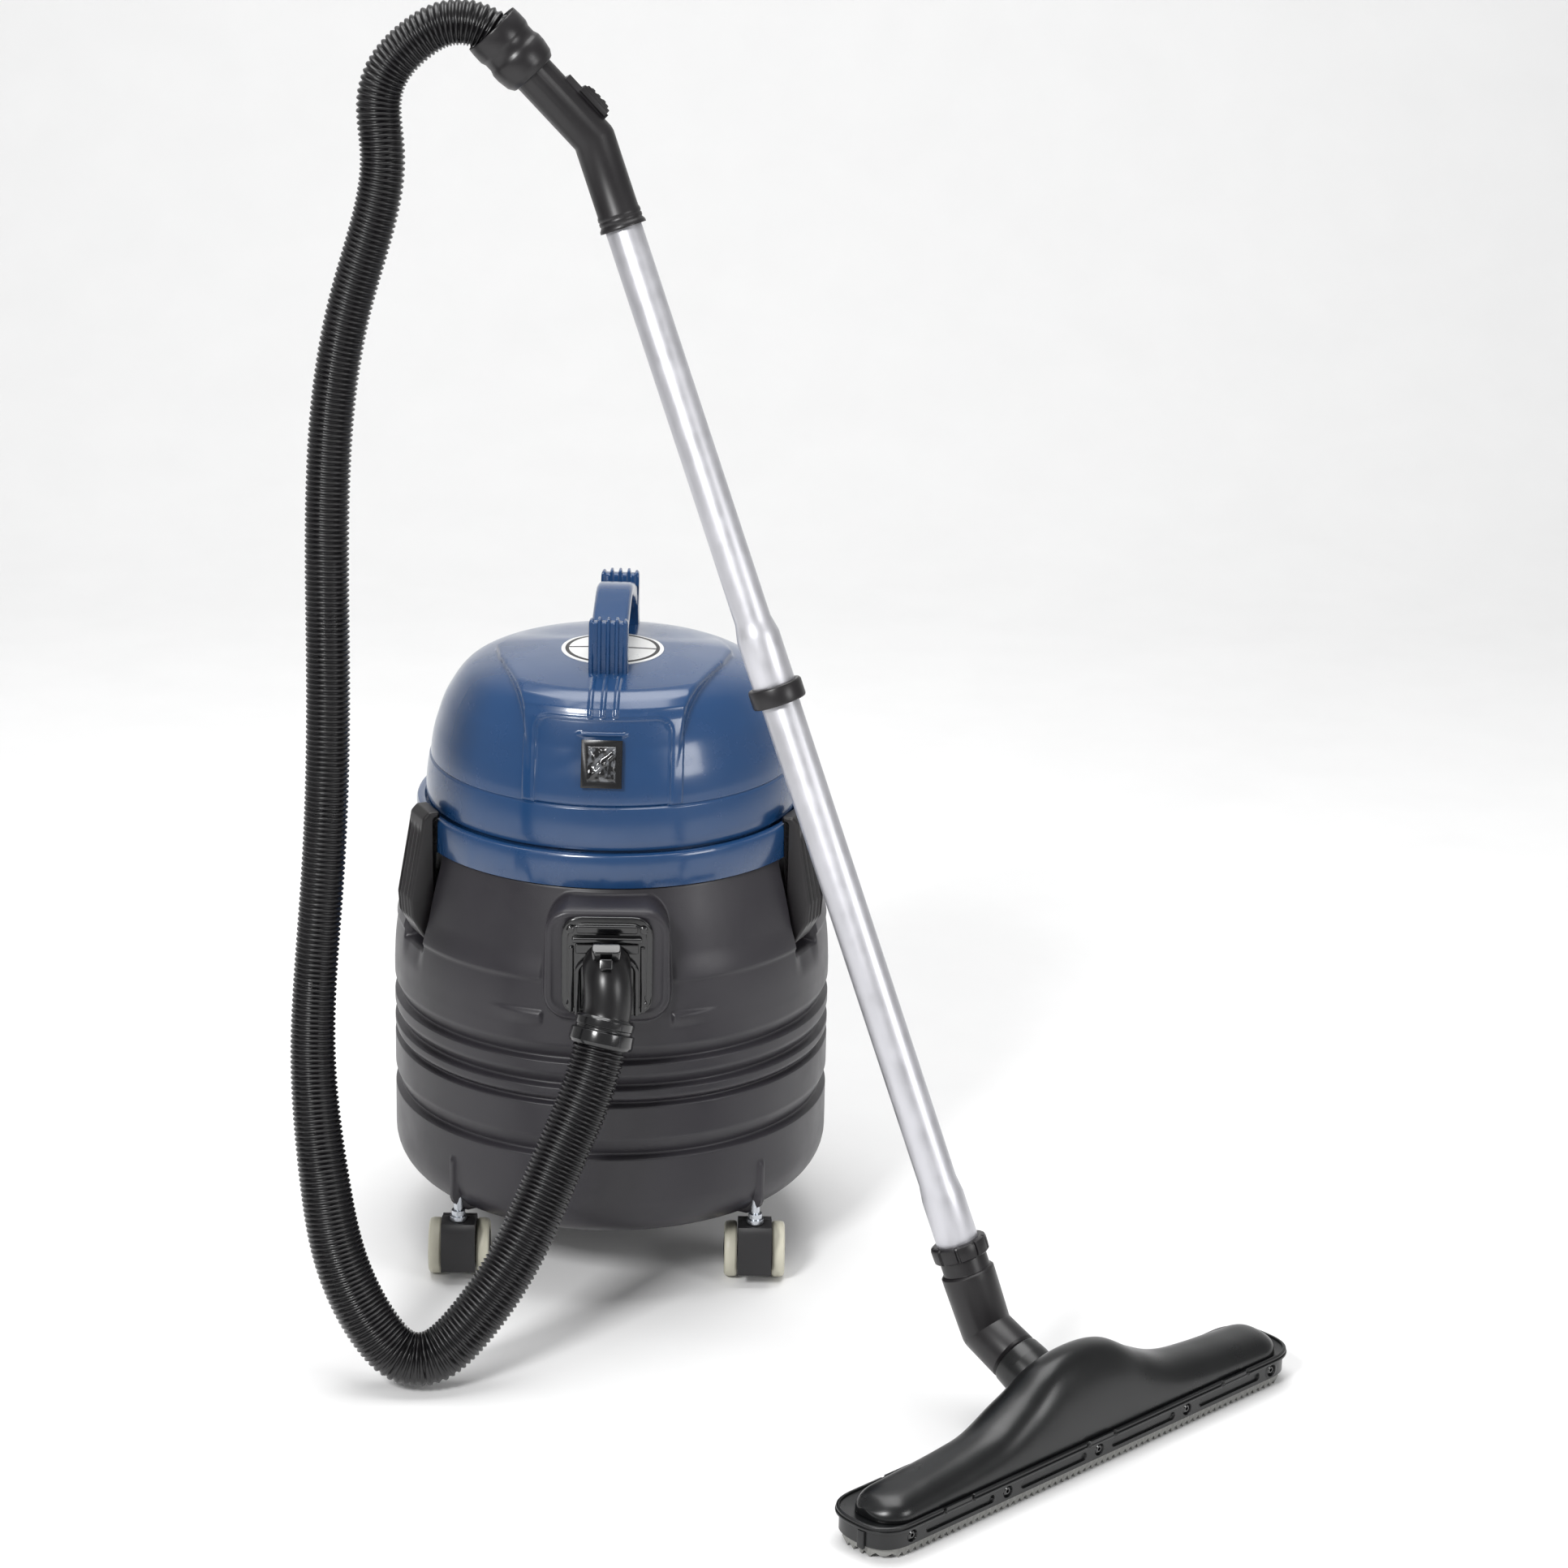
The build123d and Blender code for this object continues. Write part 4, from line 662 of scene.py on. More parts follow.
def handle_lines():
    """Outer and inner side outlines of the handle as (y, z), point for point, from front to rear."""
    arch_over = smooth_curve(mirrored_arch([(-ARCH_END, 588), (-56, 594.5), (-30, 602.5)], 608), 90)
    arch_under = smooth_curve(mirrored_arch([(-64, 569), (-56, 578), (-40, 586.5)], 596), 90)
    block = [(-91.5, 540), (-90, 548.5), (-84, 600), (-ARCH_END - 0.5, 600), (-ARCH_END, 588)]
    foot_over = spread(fillet(block, 2.2, closed=False, steps=6), 70)[:-1]
    foot_under = spread(np.array([(-72, 540), (-68.5, 557), (-64, 569)]), 70)[:-1]
    mirrored = np.array([-1, 1])
    over = np.vstack([foot_over, arch_over, (foot_over * mirrored)[::-1]])
    under = np.vstack([foot_under, arch_under, (foot_under * mirrored)[::-1]])
    return over, under


def handle_section(half):
    """Section of the handle as (x, share of the way from outside to inside, drop) points."""
    corner = HANDLE_CORNER
    turn = np.linspace(0, math.pi / 2, 6)
    outer_x = np.linspace(-half + corner, half - corner, 61)
    ring = [(x, 0.0, 0.0) for x in outer_x]
    ring += [(half - corner + corner * math.sin(a), 0.0, corner - corner * math.cos(a)) for a in turn[1:]]
    ring += [(half - corner + corner * math.cos(a), 1.0, -corner + corner * math.sin(a)) for a in turn]
    ring += [(x, 1.0, 0.0) for x in np.linspace(half - corner, -half + corner, 12)[1:-1]]
    ring += [(-half + corner - corner * math.sin(a), 1.0, -corner + corner * math.cos(a)) for a in turn]
    ring += [(-half + corner - corner * math.cos(a), 0.0, corner - corner * math.sin(a)) for a in turn[:-1]]
    return np.array(ring)


def build_carry_handle():
    """An arch between two ribbed blocks whose feet flare out onto the dome."""
    over, under = handle_lines()
    ring = handle_section(HANDLE_HALF)
    depth = np.linalg.norm(under - over, axis=1)
    toward = (under - over) / depth[:, None]
    down = ring[None, :, 1] * depth[:, None] + ring[None, :, 2]
    x = np.tile(ring[None, :, 0], (len(over), 1))
    on_outer = (ring[None, :, 1] == 0) & (np.abs(ring[None, :, 0]) < HANDLE_HALF - 2.5)
    on_block = step((np.abs(over[:, 0]) - ARCH_END + 1.5) / 1.5)[:, None]
    ribbed = on_block * step((over[:, 1] - 549) / 3)[:, None]
    groove = np.zeros_like(x)
    for centre in RIB_GROOVES:
        groove = np.maximum(groove, step((2.9 - np.abs(x - centre)) / 1.1))
    down = down + ribbed * on_outer * (3.6 * groove - 0.6)
    y = over[:, None, 0] + toward[:, None, 0] * down
    z = over[:, None, 1] + toward[:, None, 1] * down
    slimmer = 1 - 0.06 * (1 - on_block)
    flare = 1 + 0.10 * step((551 - z) / 6)
    handle = loft(np.stack([x * slimmer * flare, y, z], axis=-1))
    piece("carry_handle_arch", [handle], "head", "blue_gloss", ["carry_handle"], sharp=50)


BADGE_Y, BADGE_R = -22.5, 45.0
BADGE_LIFT, MARK_LIFT = 0.55, 0.75      # heights of the pale disc and of its dark marks above the dome


def on_crown(x, y, lift):
    """Points at a height above the dome's crown."""
    r = np.hypot(x, y)
    around = np.arctan2(x, -y)
    top = np.interp(r, CROWN_R, CROWN_Z)
    up = np.arctan2(top - DOME_CENTRE_Z, np.maximum(r, 0.01))
    reach = dome_distance(around, up)
    return np.stack([x, y, DOME_CENTRE_Z + reach * np.sin(up) + lift], axis=-1)


def crown_ring(inner, outer, lift):
    """A flat ring about the badge's middle that follows the crown."""
    rings = np.linspace(inner, outer, 10)[:, None]
    angle = np.arange(96)[None, :] / 96 * TAU
    x, y = rings * np.sin(angle), BADGE_Y + rings * np.cos(angle)
    return grid(np.concatenate([on_crown(x, y, lift), on_crown(x, y, -0.6)[::-1]]), wrap_rows=True)


def build_badge():
    """A plain round badge: a pale disc with a dark ring and a dark bar, lying on the crown of the dome."""
    disc = crown_ring(0.01, BADGE_R, BADGE_LIFT)
    piece("badge_disc", [disc], "head", "badge_white", ["badge"], sharp=40)
    x, y = np.meshgrid(np.linspace(-39, 39, 60), np.linspace(-1.1, 1.1, 3))
    bar_top, bar_low = on_crown(x, BADGE_Y + y, MARK_LIFT), on_crown(x, BADGE_Y + y, 0.2)
    bar = np.concatenate([bar_low[:1], bar_top, bar_low[-1:]])
    marks = [crown_ring(38.4, 41.6, MARK_LIFT), grid(bar, wrap_rows=True, wrap_cols=False)]
    piece("badge_ring", marks, "head", "black_plastic", sharp=40)


# ------------------------------------------------------------------ tank
TANK_R, TANK_FLOOR_Z, TANK_CORNER_R = 196.0, 62.0, 40.0
GROOVES = ((249, 232), (222, 208), (200, 192), (162, 143))
LATCH_BEARING, POCKET_SPAN = math.radians(65.0), 0.3
INLET_Z = 327.0
BOSS_FACE, BOSS_LOW_Z = 200.0, 255      # distance of the boss's face from the axis, and its lower limit
CASTER_X, CASTER_Y = 132.0, 137.0       # the casters' stems, from the tank's axis


def tank_profile():
    """Outline of the tank from the middle of its floor, up the outside, over the rim and down the inside.

    It comes with the number of its first point past the outer wall.
    """
    centre_r, centre_z = TANK_R - TANK_CORNER_R, TANK_FLOOR_Z + TANK_CORNER_R
    corner = [(centre_r + TANK_CORNER_R * math.sin(a), centre_z - TANK_CORNER_R * math.cos(a))
              for a in np.linspace(0, math.pi / 2, 13)]
    hoops = []
    for start, ledge in reversed(GROOVES):
        hoops += [(TANK_R, ledge, 1.5), (TANK_R - 6.6, ledge + 3.0, 2.2), (TANK_R, start, 9)]
    lean = smooth_curve([(TANK_R, 262), (194.8, 285), (192, 306), (188, 325), (181, 355), (172.7, 385)], 40)
    wall = fillet([corner[-1]] + hoops + [tuple(lean[0])], 3, closed=False, steps=7)
    wall = dense(np.vstack([wall, lean[1:]]), 2.4)
    rim = [tuple(wall[-1]), (172.3, 385.6), (170.8, 385.6), (170.8, 391.9), (163.1, 391.9), (163.1, 378)]
    rim = fillet(rim, 0.6, closed=False)
    inside = [(181, 325), (188.4, 264), (188.4, 108), (186, 92), (178, 76), (166, 68), (150, 65.6)]
    inside.append((0.5, 65.6))
    floor = [(0.5, TANK_FLOOR_Z), (80, TANK_FLOOR_Z)]
    return np.vstack([floor, corner[:-1], wall, rim[1:], inside]), len(corner) + 1 + len(wall)


def dense(line, stride):
    """The same line with extra points wherever two neighbours are further apart than the stride."""
    filled = [line[0]]
    for a, b in zip(line[:-1], line[1:]):
        parts = max(1, int(math.ceil(np.linalg.norm(b - a) / stride)))
        filled += [a + (b - a) * k / parts for k in range(1, parts + 1)]
    return np.array(filled)


def dense_loop(outline, stride):
    """A closed outline with extra points along its long stretches."""
    return dense(np.vstack([outline, outline[:1]]), stride)[:-1]


def tank_bearings():
    """Bearings from front to rear, closer together at the boss, the latch pockets and the caster ribs."""
    degrees = np.concatenate([
        np.arange(0, 13, 0.9), np.arange(13, 24, 0.35), np.arange(24, 42, 1.6), np.arange(42, 50.5, 0.35),
        np.arange(51, 57.5, 1.0), np.arange(57.5, 61, 0.3), np.arange(61, 69, 0.7), np.arange(69, 72.5, 0.3),
        np.arange(73.5, 129, 1.9), np.arange(130, 138, 0.35), np.arange(139, 180, 2.0),
    ])
    right = np.radians(degrees)
    return np.concatenate([right, [math.pi], -right[:0:-1]])


def with_boss(around, radius, z):
    """The flat boss for the inlet with its two beads, and the shallow band round the tank at its height."""
    x_face = BOSS_FACE * np.tan(np.clip(around, -1.2, 1.2))
    near = (np.abs(around) < 0.7) & (z > BOSS_LOW_Z)
    face = np.where(near, BOSS_FACE / np.cos(np.clip(around, -0.7, 0.7)), radius)
    boss = round_rect(x_face, z - INLET_Z, 59.0, 54.0, 26.0)
    out = radius + (face - radius) * (step((1.5 - boss) / 8.5) * near)
    beads = np.exp(-((boss + 3.6) / 1.6) ** 2) + 0.8 * np.exp(-((boss + 10.0) / 1.8) ** 2)
    out += np.where(near, 1.1 * beads * (np.abs(x_face) < 62), 0)
    # The band stops at the boss and has a soft crease along its lower edge.
    away = step((boss - 1.0) / 5.0) * (z > BOSS_LOW_Z)
    out += away * 1.6 * step((z - 304.5) / 2.2) * step((330 - z) / 24) * (z < 335)
    shelf = step((np.abs(x_face) - 58) / 4) * step((128 - np.abs(x_face)) / 62) * near
    out += 3.4 * shelf * step((279 - z) / 2.5) * step((z - 262) / 14)
    return out


def beside_latch(around, back):
    """Angle and distance sideways from the nearer latch's middle, and the reach of a pocket's flat back."""
    off = np.abs(np.abs(around) - LATCH_BEARING)
    return off, np.abs(np.sin(off)) * 182, back / np.cos(np.minimum(off, POCKET_SPAN))


def with_latch_pockets(around, out, z):
    """Flat-backed pockets behind the latches, with a soft scoop below each."""
    off, across, flat_back = beside_latch(around, 169.5)
    inside = step((21.5 - across) / 3.0) * step((z - 297.0) / 7.0) * (off < POCKET_SPAN)
    out = np.where(z > 280, out + (np.minimum(flat_back, out) - out) * inside, out)
    scoop = step((24 - across) / 14) * step((z - 276) / 24) * step((306 - z) / 8) * (off < POCKET_SPAN)
    return out - 3.0 * scoop


def with_caster_ribs(around, out, z):
    """Slim upright ribs above the casters."""
    front_stand = math.atan2(CASTER_X, CASTER_Y)
    for stand in (front_stand, math.pi - front_stand):
        off = np.abs(np.abs(around) - stand) * TANK_R
        rib = step((4.2 - off) / 2.2) * step((121 - z) / 4) * (z > 64)
        out = out + rib * np.clip(198.6 - out, 0, 9)
    return out


def build_tank():
    """The moulded shell: its profile turned about the axis, with the outside and the pockets shaped."""
    outline, wall_end = tank_profile()
    around = tank_bearings()
    radius = np.tile(outline[:, :1], (1, len(around)))
    z = np.tile(outline[:, 1:], (1, len(around)))
    angle = np.tile(around[None, :], (len(outline), 1))
    outer = slice(4, wall_end)
    shaped = with_boss(angle[outer], radius[outer], z[outer])
    shaped = with_latch_pockets(angle[outer], shaped, z[outer])
    radius[outer] = with_caster_ribs(angle[outer], shaped, z[outer])
    inner = slice(wall_end + 8, len(outline) - 6)
    off, across, flat_back = beside_latch(angle[inner], 165.8)
    pocket = step((26 - across) / 3) * (off < POCKET_SPAN) * step((z[inner] - 292) / 3)
    radius[inner] = radius[inner] + (np.minimum(radius[inner], flat_back) - radius[inner]) * pocket
    points = np.stack([radius * np.sin(angle), -radius * np.cos(angle), z], axis=-1)
    piece("tank_moulding", [grid(points)], "tank", "tank_plastic", ["tank_shell"], sharp=62)


# ------------------------------------------------------------------ floor tool
TOOL_CENTRE = np.array([388.0, -457.0, 0.0])
TOOL_TURN = math.radians(42.4)
TOOL_ALONG = np.array([math.cos(TOOL_TURN), math.sin(TOOL_TURN), 0.0])
TOOL_BACK = np.array([-TOOL_ALONG[1], TOOL_ALONG[0], 0.0])
UP = np.array([0.0, 0.0, 1.0])
SCREW_PITCH = 108.0
SCREW_XS = [(k - 2) * SCREW_PITCH for k in range(5)]
SLOT_XS = [(k - 1.5) * SCREW_PITCH for k in range(4)]
ELBOW = np.array([322.0, -385.0, 78.0])         # bend of the tool's neck
BEND = np.array([-14.5, -220.5, 1037.5])        # bend of the handle
WAND_DIR = (BEND - ELBOW) / np.linalg.norm(BEND - ELBOW)
GRIP_DIR = np.array([-0.69, 0.0, 0.7238]) / math.hypot(0.69, 0.7238)
LEG_TILT = math.radians(22.5)
LEG_DIR = TOOL_BACK * math.cos(LEG_TILT) + UP * math.sin(LEG_TILT)
LEG_LENGTH = 68.0


def on_tool(x, y, z):
    """Points from places along, across (to the back) and above the tool."""
    return TOOL_CENTRE + x[..., None] * TOOL_ALONG + y[..., None] * TOOL_BACK + z[..., None] * UP


def stadium(half_l, half_w, corner, count):
    """Points and outward normals evenly spread round a rounded rectangle."""
    outline = rect(2 * half_l, 2 * half_w, corner, steps=24)
    line = spread(np.vstack([outline, outline[:1]]), count + 1)[:-1]
    return line, outward_normals(line)


BODY_HALF_L, BODY_HALF_W, BODY_CORNER, BODY_LOW_Z = 238.0, 31.0, 26.0, 29.0
BODY_CREST_RIGHT = [(0, 99.5), (36, 94), (70, 75), (104, 60), (143, 53), (190, 48.5), (222, 45), (238, 36)]


def body_stations():
    """Places along the tool, closer together towards the rounded ends."""
    near_end = 0.9
    ends = np.linspace(near_end, 1, 26)
    bunched = near_end + (1 - near_end) * np.sin((ends - near_end) / (1 - near_end) * math.pi / 2)
    return np.concatenate([-bunched[::-1], np.linspace(-0.893, 0.893, 130), bunched]) * BODY_HALF_L


def build_tool_body():
    """Lofted body: low rounded ends that swell to a hump in the middle, and a socket for the neck."""
    crest = [(-x, z) for x, z in BODY_CREST_RIGHT[:0:-1]] + BODY_CREST_RIGHT
    crown = smooth_curve(crest, 400)
    stations = body_stations()
    top = np.interp(stations, crown[:, 0], crown[:, 1])
    past = np.clip(np.abs(stations) - (BODY_HALF_L - BODY_CORNER), 0, BODY_CORNER)
    width = BODY_HALF_W - BODY_CORNER + np.sqrt(np.maximum(BODY_CORNER ** 2 - past ** 2, 0))
    a = np.linspace(0, math.pi, 61)
    rows = []
    for x, w, h in zip(stations, width, top):
        swell = 0.5 + 0.5 * min(1.0, max(0.0, h - 50) / 46)
        y = -w * np.sign(np.cos(a)) * np.abs(np.cos(a)) ** 0.86
        z = BODY_LOW_Z + (h - BODY_LOW_Z) * np.abs(np.sin(a)) ** (0.78 + 0.14 * swell)
        slimmer = 1 - 0.30 * step((abs(x) - 70) / 60)
        y = np.where(y > 0, y * slimmer, y)
        y = np.concatenate([y, [(w - 3) * slimmer, -(w - 3)]])
        z = np.concatenate([z, [BODY_LOW_Z, BODY_LOW_Z]])
        rows.append(on_tool(np.full(len(y), x), y, z))
    piece("tool_body_loft", [loft(np.array(rows))], "floor_tool", "tool_plastic", ["tool_body"], sharp=50)
    socket = lathe([(19.05, -10), (23.2, -10), (23.4, 18), (22.6, 30), (20.5, 31), (19.05, 30)],
                   ELBOW - LEG_DIR * LEG_LENGTH, LEG_DIR, 1.2, 64)
    piece("tool_neck_socket", [socket], "floor_tool", "tool_plastic", sharp=50)


def perimeter_piece(name, size, profile, relief, slot, replaces, count=1300, sharp=40):
    """A band round a (half length, half width, corner) rectangle, from an (outset, height) outline.

    relief(x, y, outset, z) gives how far each point is pushed outward and raised.
    """
    line, normal = stadium(*size, count)
    rows = []
    for outset, z in profile:
        height = np.full(count, z)
        push, rise = relief(line[:, 0], line[:, 1], outset, height)
        flat = line + normal * (outset + push[:, None])
        rows.append(on_tool(flat[:, 0], flat[:, 1], height + rise))
    piece(name, [grid(np.array(rows), wrap_rows=True)], "floor_tool", slot, replaces, sharp=sharp)


FITTING_Z = 17.6        # middle height of the side plate's slots and screws
SLOT_HALF, SLOT_R, SCREW_RECESS_R = 35, 3.4, 4.8


def side_relief(x, y, outset, z):
    """Long slots and round screw recesses in the side plate, each with a raised lip."""
    push = np.zeros_like(x)
    if outset > -0.5:
        front = y < -20
        for place in SLOT_XS:
            gap = np.hypot(np.maximum(np.abs(x - place) - SLOT_HALF, 0), z - FITTING_Z) - SLOT_R
            push = np.minimum(push, -2.2 * step(-gap / 0.9 + 0.4) * front)
            push = np.where(np.abs(gap - 0.9) < 0.9, push + 0.35 * front, push)
        for place in SCREW_XS:
            gap = np.hypot(x - place, z - FITTING_Z) - SCREW_RECESS_R
            push = np.minimum(push, -2.4 * step(-gap / 0.8 + 0.4) * front)
            push = np.where(np.abs(gap - 1.2) < 0.9, push + 0.5 * front, push)
    return push, 0.0


def lip_relief(x, y, outset, z):
    """Three clips along each long side of the rim, with a notch at both of their ends."""
    push = np.zeros_like(x)
    side = np.abs(y) > 20
    if outset > -3.5:
        for place in (-166, 0, 166):
            near = np.abs(x - place)
            push += np.where((near < 14.5) & side, max(0.0, -0.5 - outset) * 0.9, 0)
            push -= 1.8 * step((1.6 - np.abs(near - 16)) / 0.7) * side * (outset > -2.5)
    return push, 0.0


def build_tool_base():
    """Side plate of the tool, the rim lip above it and the tab at its end."""
    heights = np.concatenate([[10.4], np.linspace(11, 23.6, 27), [24.2, 24.8]])
    plate = [(-12, 10), (-1.2, 10), (-0.4, 10.2)] + [(0, z) for z in heights] + [(-12, 24.9)]
    perimeter_piece("tool_side_plate", (247, 33, 30), plate, side_relief, "tool_plastic", ["tool_base"])
    lip = [(-20, 25), (0, 25), (0, 26.9, 0.3), (-1.4, 27.2, 0.3), (-1.4, 28.2, 0.3), (-0.6, 28.5, 0.3),
           (-0.8, 30), (-3.4, 30.6), (-3.8, 28.4), (-20, 28.4)]
    perimeter_piece("tool_rim_lip", (250, 36, 33), fillet(lip, 0.7, steps=3), lip_relief, "tool_plastic", [])
    place = on_tool(*np.array([-249.0, -8.0, 16.0]))
    tab = slab(rect(7, 16, 1.2), place, TOOL_BACK, UP, 0.0, 3.0, 0.6)
    piece("tool_end_tab", [tab], "floor_tool", "tool_plastic", sharp=40)


TOOTH_PITCH, TOOTH_DEPTH = 7.0, 5.6


def teeth(x, y, outset, z):
    """Saw teeth along the strip's lower edge, with ribs up both of its faces."""
    run = np.where(np.abs(y) > 29, x, x + np.abs(y) * np.sign(x))
    saw = np.abs((run / TOOTH_PITCH) % 1.0 - 0.5) * 2
    outer_face = 1 if outset > -1 else -1
    return 1.5 * (saw - 0.5) * outer_face * (z < 11), TOOTH_DEPTH * saw * step((9 - z) / 9)


def build_tool_strip():
    """The serrated rubber strip under the side plate."""
    heights = np.concatenate([np.linspace(0, 10, 9), [15.4]])
    strip = [(0, z) for z in heights] + [(-2.9, z) for z in heights[::-1]]
    perimeter_piece("tool_strip_serrated", (244, 30, 27), strip, teeth, "strip_rubber", ["tool_strip"],
                    count=1500, sharp=30)


def ball(centre, radius, rows=24, sides=48):
    """A ball, closed by a row of points at each pole."""
    lift = np.linspace(-math.pi / 2, math.pi / 2, rows)[:, None]
    angle = np.arange(sides)[None, :] / sides * TAU
    flat = np.cos(lift) * radius
    height = np.sin(lift) * radius + 0 * angle
    points = np.stack([flat * np.cos(angle), flat * np.sin(angle), height], axis=-1)
    return grid(points + np.array(centre, float))


SLEEVE = [(16, 0), (21.6, 0), (22.6, 46), (22.6, 52, 0.4), (21.2, 53.5, 0.4), (19.9, 54, 0.6), (19.9, 67),
          (17.9, 67), (17.9, 60), (16, 60)]
LEG = [(16, 0), (21.6, 0), (22.0, -34), (19.0, -37), (19.0, -LEG_LENGTH), (16, -LEG_LENGTH)]
# The collar's outline as (radius, place along the wand, depth share of its nine notches).
COLLAR = [(18.0, 66.5, 0), (22.6, 66.5, 0.5), (23.6, 67.4, 1), (23.9, 72, 1), (23.9, 77, 1), (23.3, 79, 1),
          (21.5, 80, 0.6), (18.0, 80, 0)]


def build_tool_elbow():
    """Bent neck of the floor tool: a wide sleeve, a slimmer throat and a lobed clamping collar."""
    sleeve = lathe(SLEEVE, ELBOW, WAND_DIR, 0.8, 72)
    leg = lathe(LEG, ELBOW, LEG_DIR, 0.8, 72)
    angle = np.arange(240) / 240 * TAU
    u, v, w = axes_of(WAND_DIR)
    ring = np.cos(angle)[:, None] * u + np.sin(angle)[:, None] * v
    notch = step((0.09 - np.abs((angle / TAU * 9) % 1.0 - 0.5)) / 0.03)
    rows = []
    for radius, along, share in COLLAR:
        reach = radius - 1.7 * notch * share
        rows.append(ELBOW + reach[:, None] * ring + along * w)
    collar = grid(np.array(rows), wrap_rows=True)
    piece("tool_elbow_moulding", [sleeve, leg, ball(ELBOW, 21.6), collar], "tool_neck", "black_plastic",
          ["tool_elbow"], sharp=35)


# ------------------------------------------------------------------ latches
# Side outline of a latch: (distance from the tank's axis, height, corner radius).
LATCH_SIDE = [
    (176, 309, 3), (187, 307.5, 4), (199.3, 329, 5), (200.6, 346, 10), (190, 404, 20), (187.4, 419, 5),
    (182, 424.5, 4), (172.4, 424.5, 2), (171.4, 418.4, 0.6), (176.6, 417.6, 1), (176.6, 386, 2),
    (175.6, 320, 2),
]
LATCH_HALF, LATCH_CORNER, RIDGE_PITCH, RIDGE_DEPTH = 16.0, 2.6, 8.0, 1.7


def build_latch(side, name):
    """One lever: a thick bowed body with a hook at the top and three soft ridges down its outer face."""
    outline = dense_loop(fillet(LATCH_SIDE, 2, steps=6), 2.5)
    normal = outward_normals(outline)
    bearing = side * LATCH_BEARING
    outward = np.array([math.sin(bearing), -math.cos(bearing), 0.0])
    across = np.array([math.cos(bearing), math.sin(bearing), 0.0])
    half, corner = LATCH_HALF, LATCH_CORNER
    turn = np.linspace(0, math.pi / 2, 5)
    stops = [(-half + corner * (1 - math.sin(a)), corner * (1 - math.cos(a))) for a in turn[::-1]]
    stops += [(x, 0.0) for x in np.linspace(-half + corner, half - corner, 49)[1:-1]]
    stops += [(half - corner * (1 - math.sin(a)), corner * (1 - math.cos(a))) for a in turn]
    on_face = (outline[:, 0] > 184) & (outline[:, 1] > 322)
    fade = step((outline[:, 1] - 322) / 8) * step((412 - outline[:, 1]) / 8) * on_face
    rows = []
    for place, inset in stops:
        ridge = 0.0
        if abs(place) < half - corner:
            ridge = max(0.0, math.cos(place / RIDGE_PITCH * TAU)) ** 0.7 - 1.0
        section = outline - normal * inset + normal * (RIDGE_DEPTH * ridge * fade)[:, None]
        rows.append(section[:, :1] * outward + section[:, 1:] * UP + place * across)
    piece(f"{name}_lever", [loft(np.array(rows))], name, "black_plastic", [name], sharp=50)


# ------------------------------------------------------------------ casters
WHEEL_R, CASTER_TRAIL = 25.0, 18.0
CASTERS = {"front_left": (-1, -1), "front_right": (1, -1), "rear_left": (-1, 1), "rear_right": (1, 1)}
# Section of a tyre: (radius, distance from the caster's middle, corner radius).
TYRE = [
    (19, 15.7), (23.6, 15.7, 1), (WHEEL_R, 17.4, 1.4), (WHEEL_R, 22.6, 2), (24.2, 26, 2), (21.6, 27.2, 1),
    (20.4, 26.4, 0.4), (19, 26.2),
]


def build_tyres():
    """Cream tyres with rounded shoulders, on both wheels of each caster."""
    for name, (side, end) in CASTERS.items():
        hub = np.array([side * CASTER_X, end * CASTER_Y + CASTER_TRAIL, WHEEL_R])
        pair = [lathe(TYRE, hub, (way, 0, 0), 0.5, 72) for way in (-1, 1)]
        body = f"caster_{name}_wheels"
        piece(f"caster_{name}_tyre_pair", pair, body, "tyre_cream", [f"caster_{name}_tyres"])


# ------------------------------------------------------------------ switch cover
def build_switch_cover():
    """A soft clear boot over the rocker, a little dished and creased from corner to corner."""
    tilt = math.radians(16.0)
    normal = np.array([0.0, -math.cos(tilt), math.sin(tilt)])
    face_up = np.array([0.0, math.sin(tilt), math.cos(tilt)])
    centre = np.array([0.0, -156.5, 493.0])
    half_w, half_h = 12.3, 15.3
    u, v = np.meshgrid(np.linspace(-1, 1, 57), np.linspace(-1, 1, 65))
    rim = np.maximum(np.abs(u) ** 6, np.abs(v) ** 6)
    inward = 1 - rim
    fold = 0.9 * np.exp(-((u * 0.8 - v - 0.12) / 0.16) ** 2)
    fold -= 0.8 * np.exp(-((u * 0.7 - v + 0.3) / 0.2) ** 2)
    lump = 0.25 * np.sin(7.0 * u + 3.0 * v) * np.cos(5.0 * v - 2.0 * u)
    height = 3.1 + 2.6 * inward ** 0.5 + (fold + lump) * inward
    flat = centre + (u * half_w)[..., None] * (1, 0, 0) + (v * half_h)[..., None] * face_up
    top = flat + height[..., None] * normal
    low = top - (height - 2.6)[..., None] * normal
    shell = np.concatenate([top, low[::-1]])
    points, faces = grid(shell, wrap_rows=True, wrap_cols=False)
    rows, cols = shell.shape[:2]
    for col in (0, cols - 1):
        edge = [r * cols + col for r in range(rows)]
        faces.append(edge if col else edge[::-1])
    piece("switch_cover_boot", [(points, faces)], "head", "clear_cover", ["switch_cover"], sharp=60)


# ------------------------------------------------------------------ inlet
CUFF = [
    (20.4, -22), (23.6, -22), (25.4, -19.5), (25.4, -13.5), (24.6, -12.6), (24.6, -10.6), (27.4, -9.4),
    (27.8, 0.2), (26.4, 3), (23.2, 3), (20.3, -2), (20.3, -13),
]


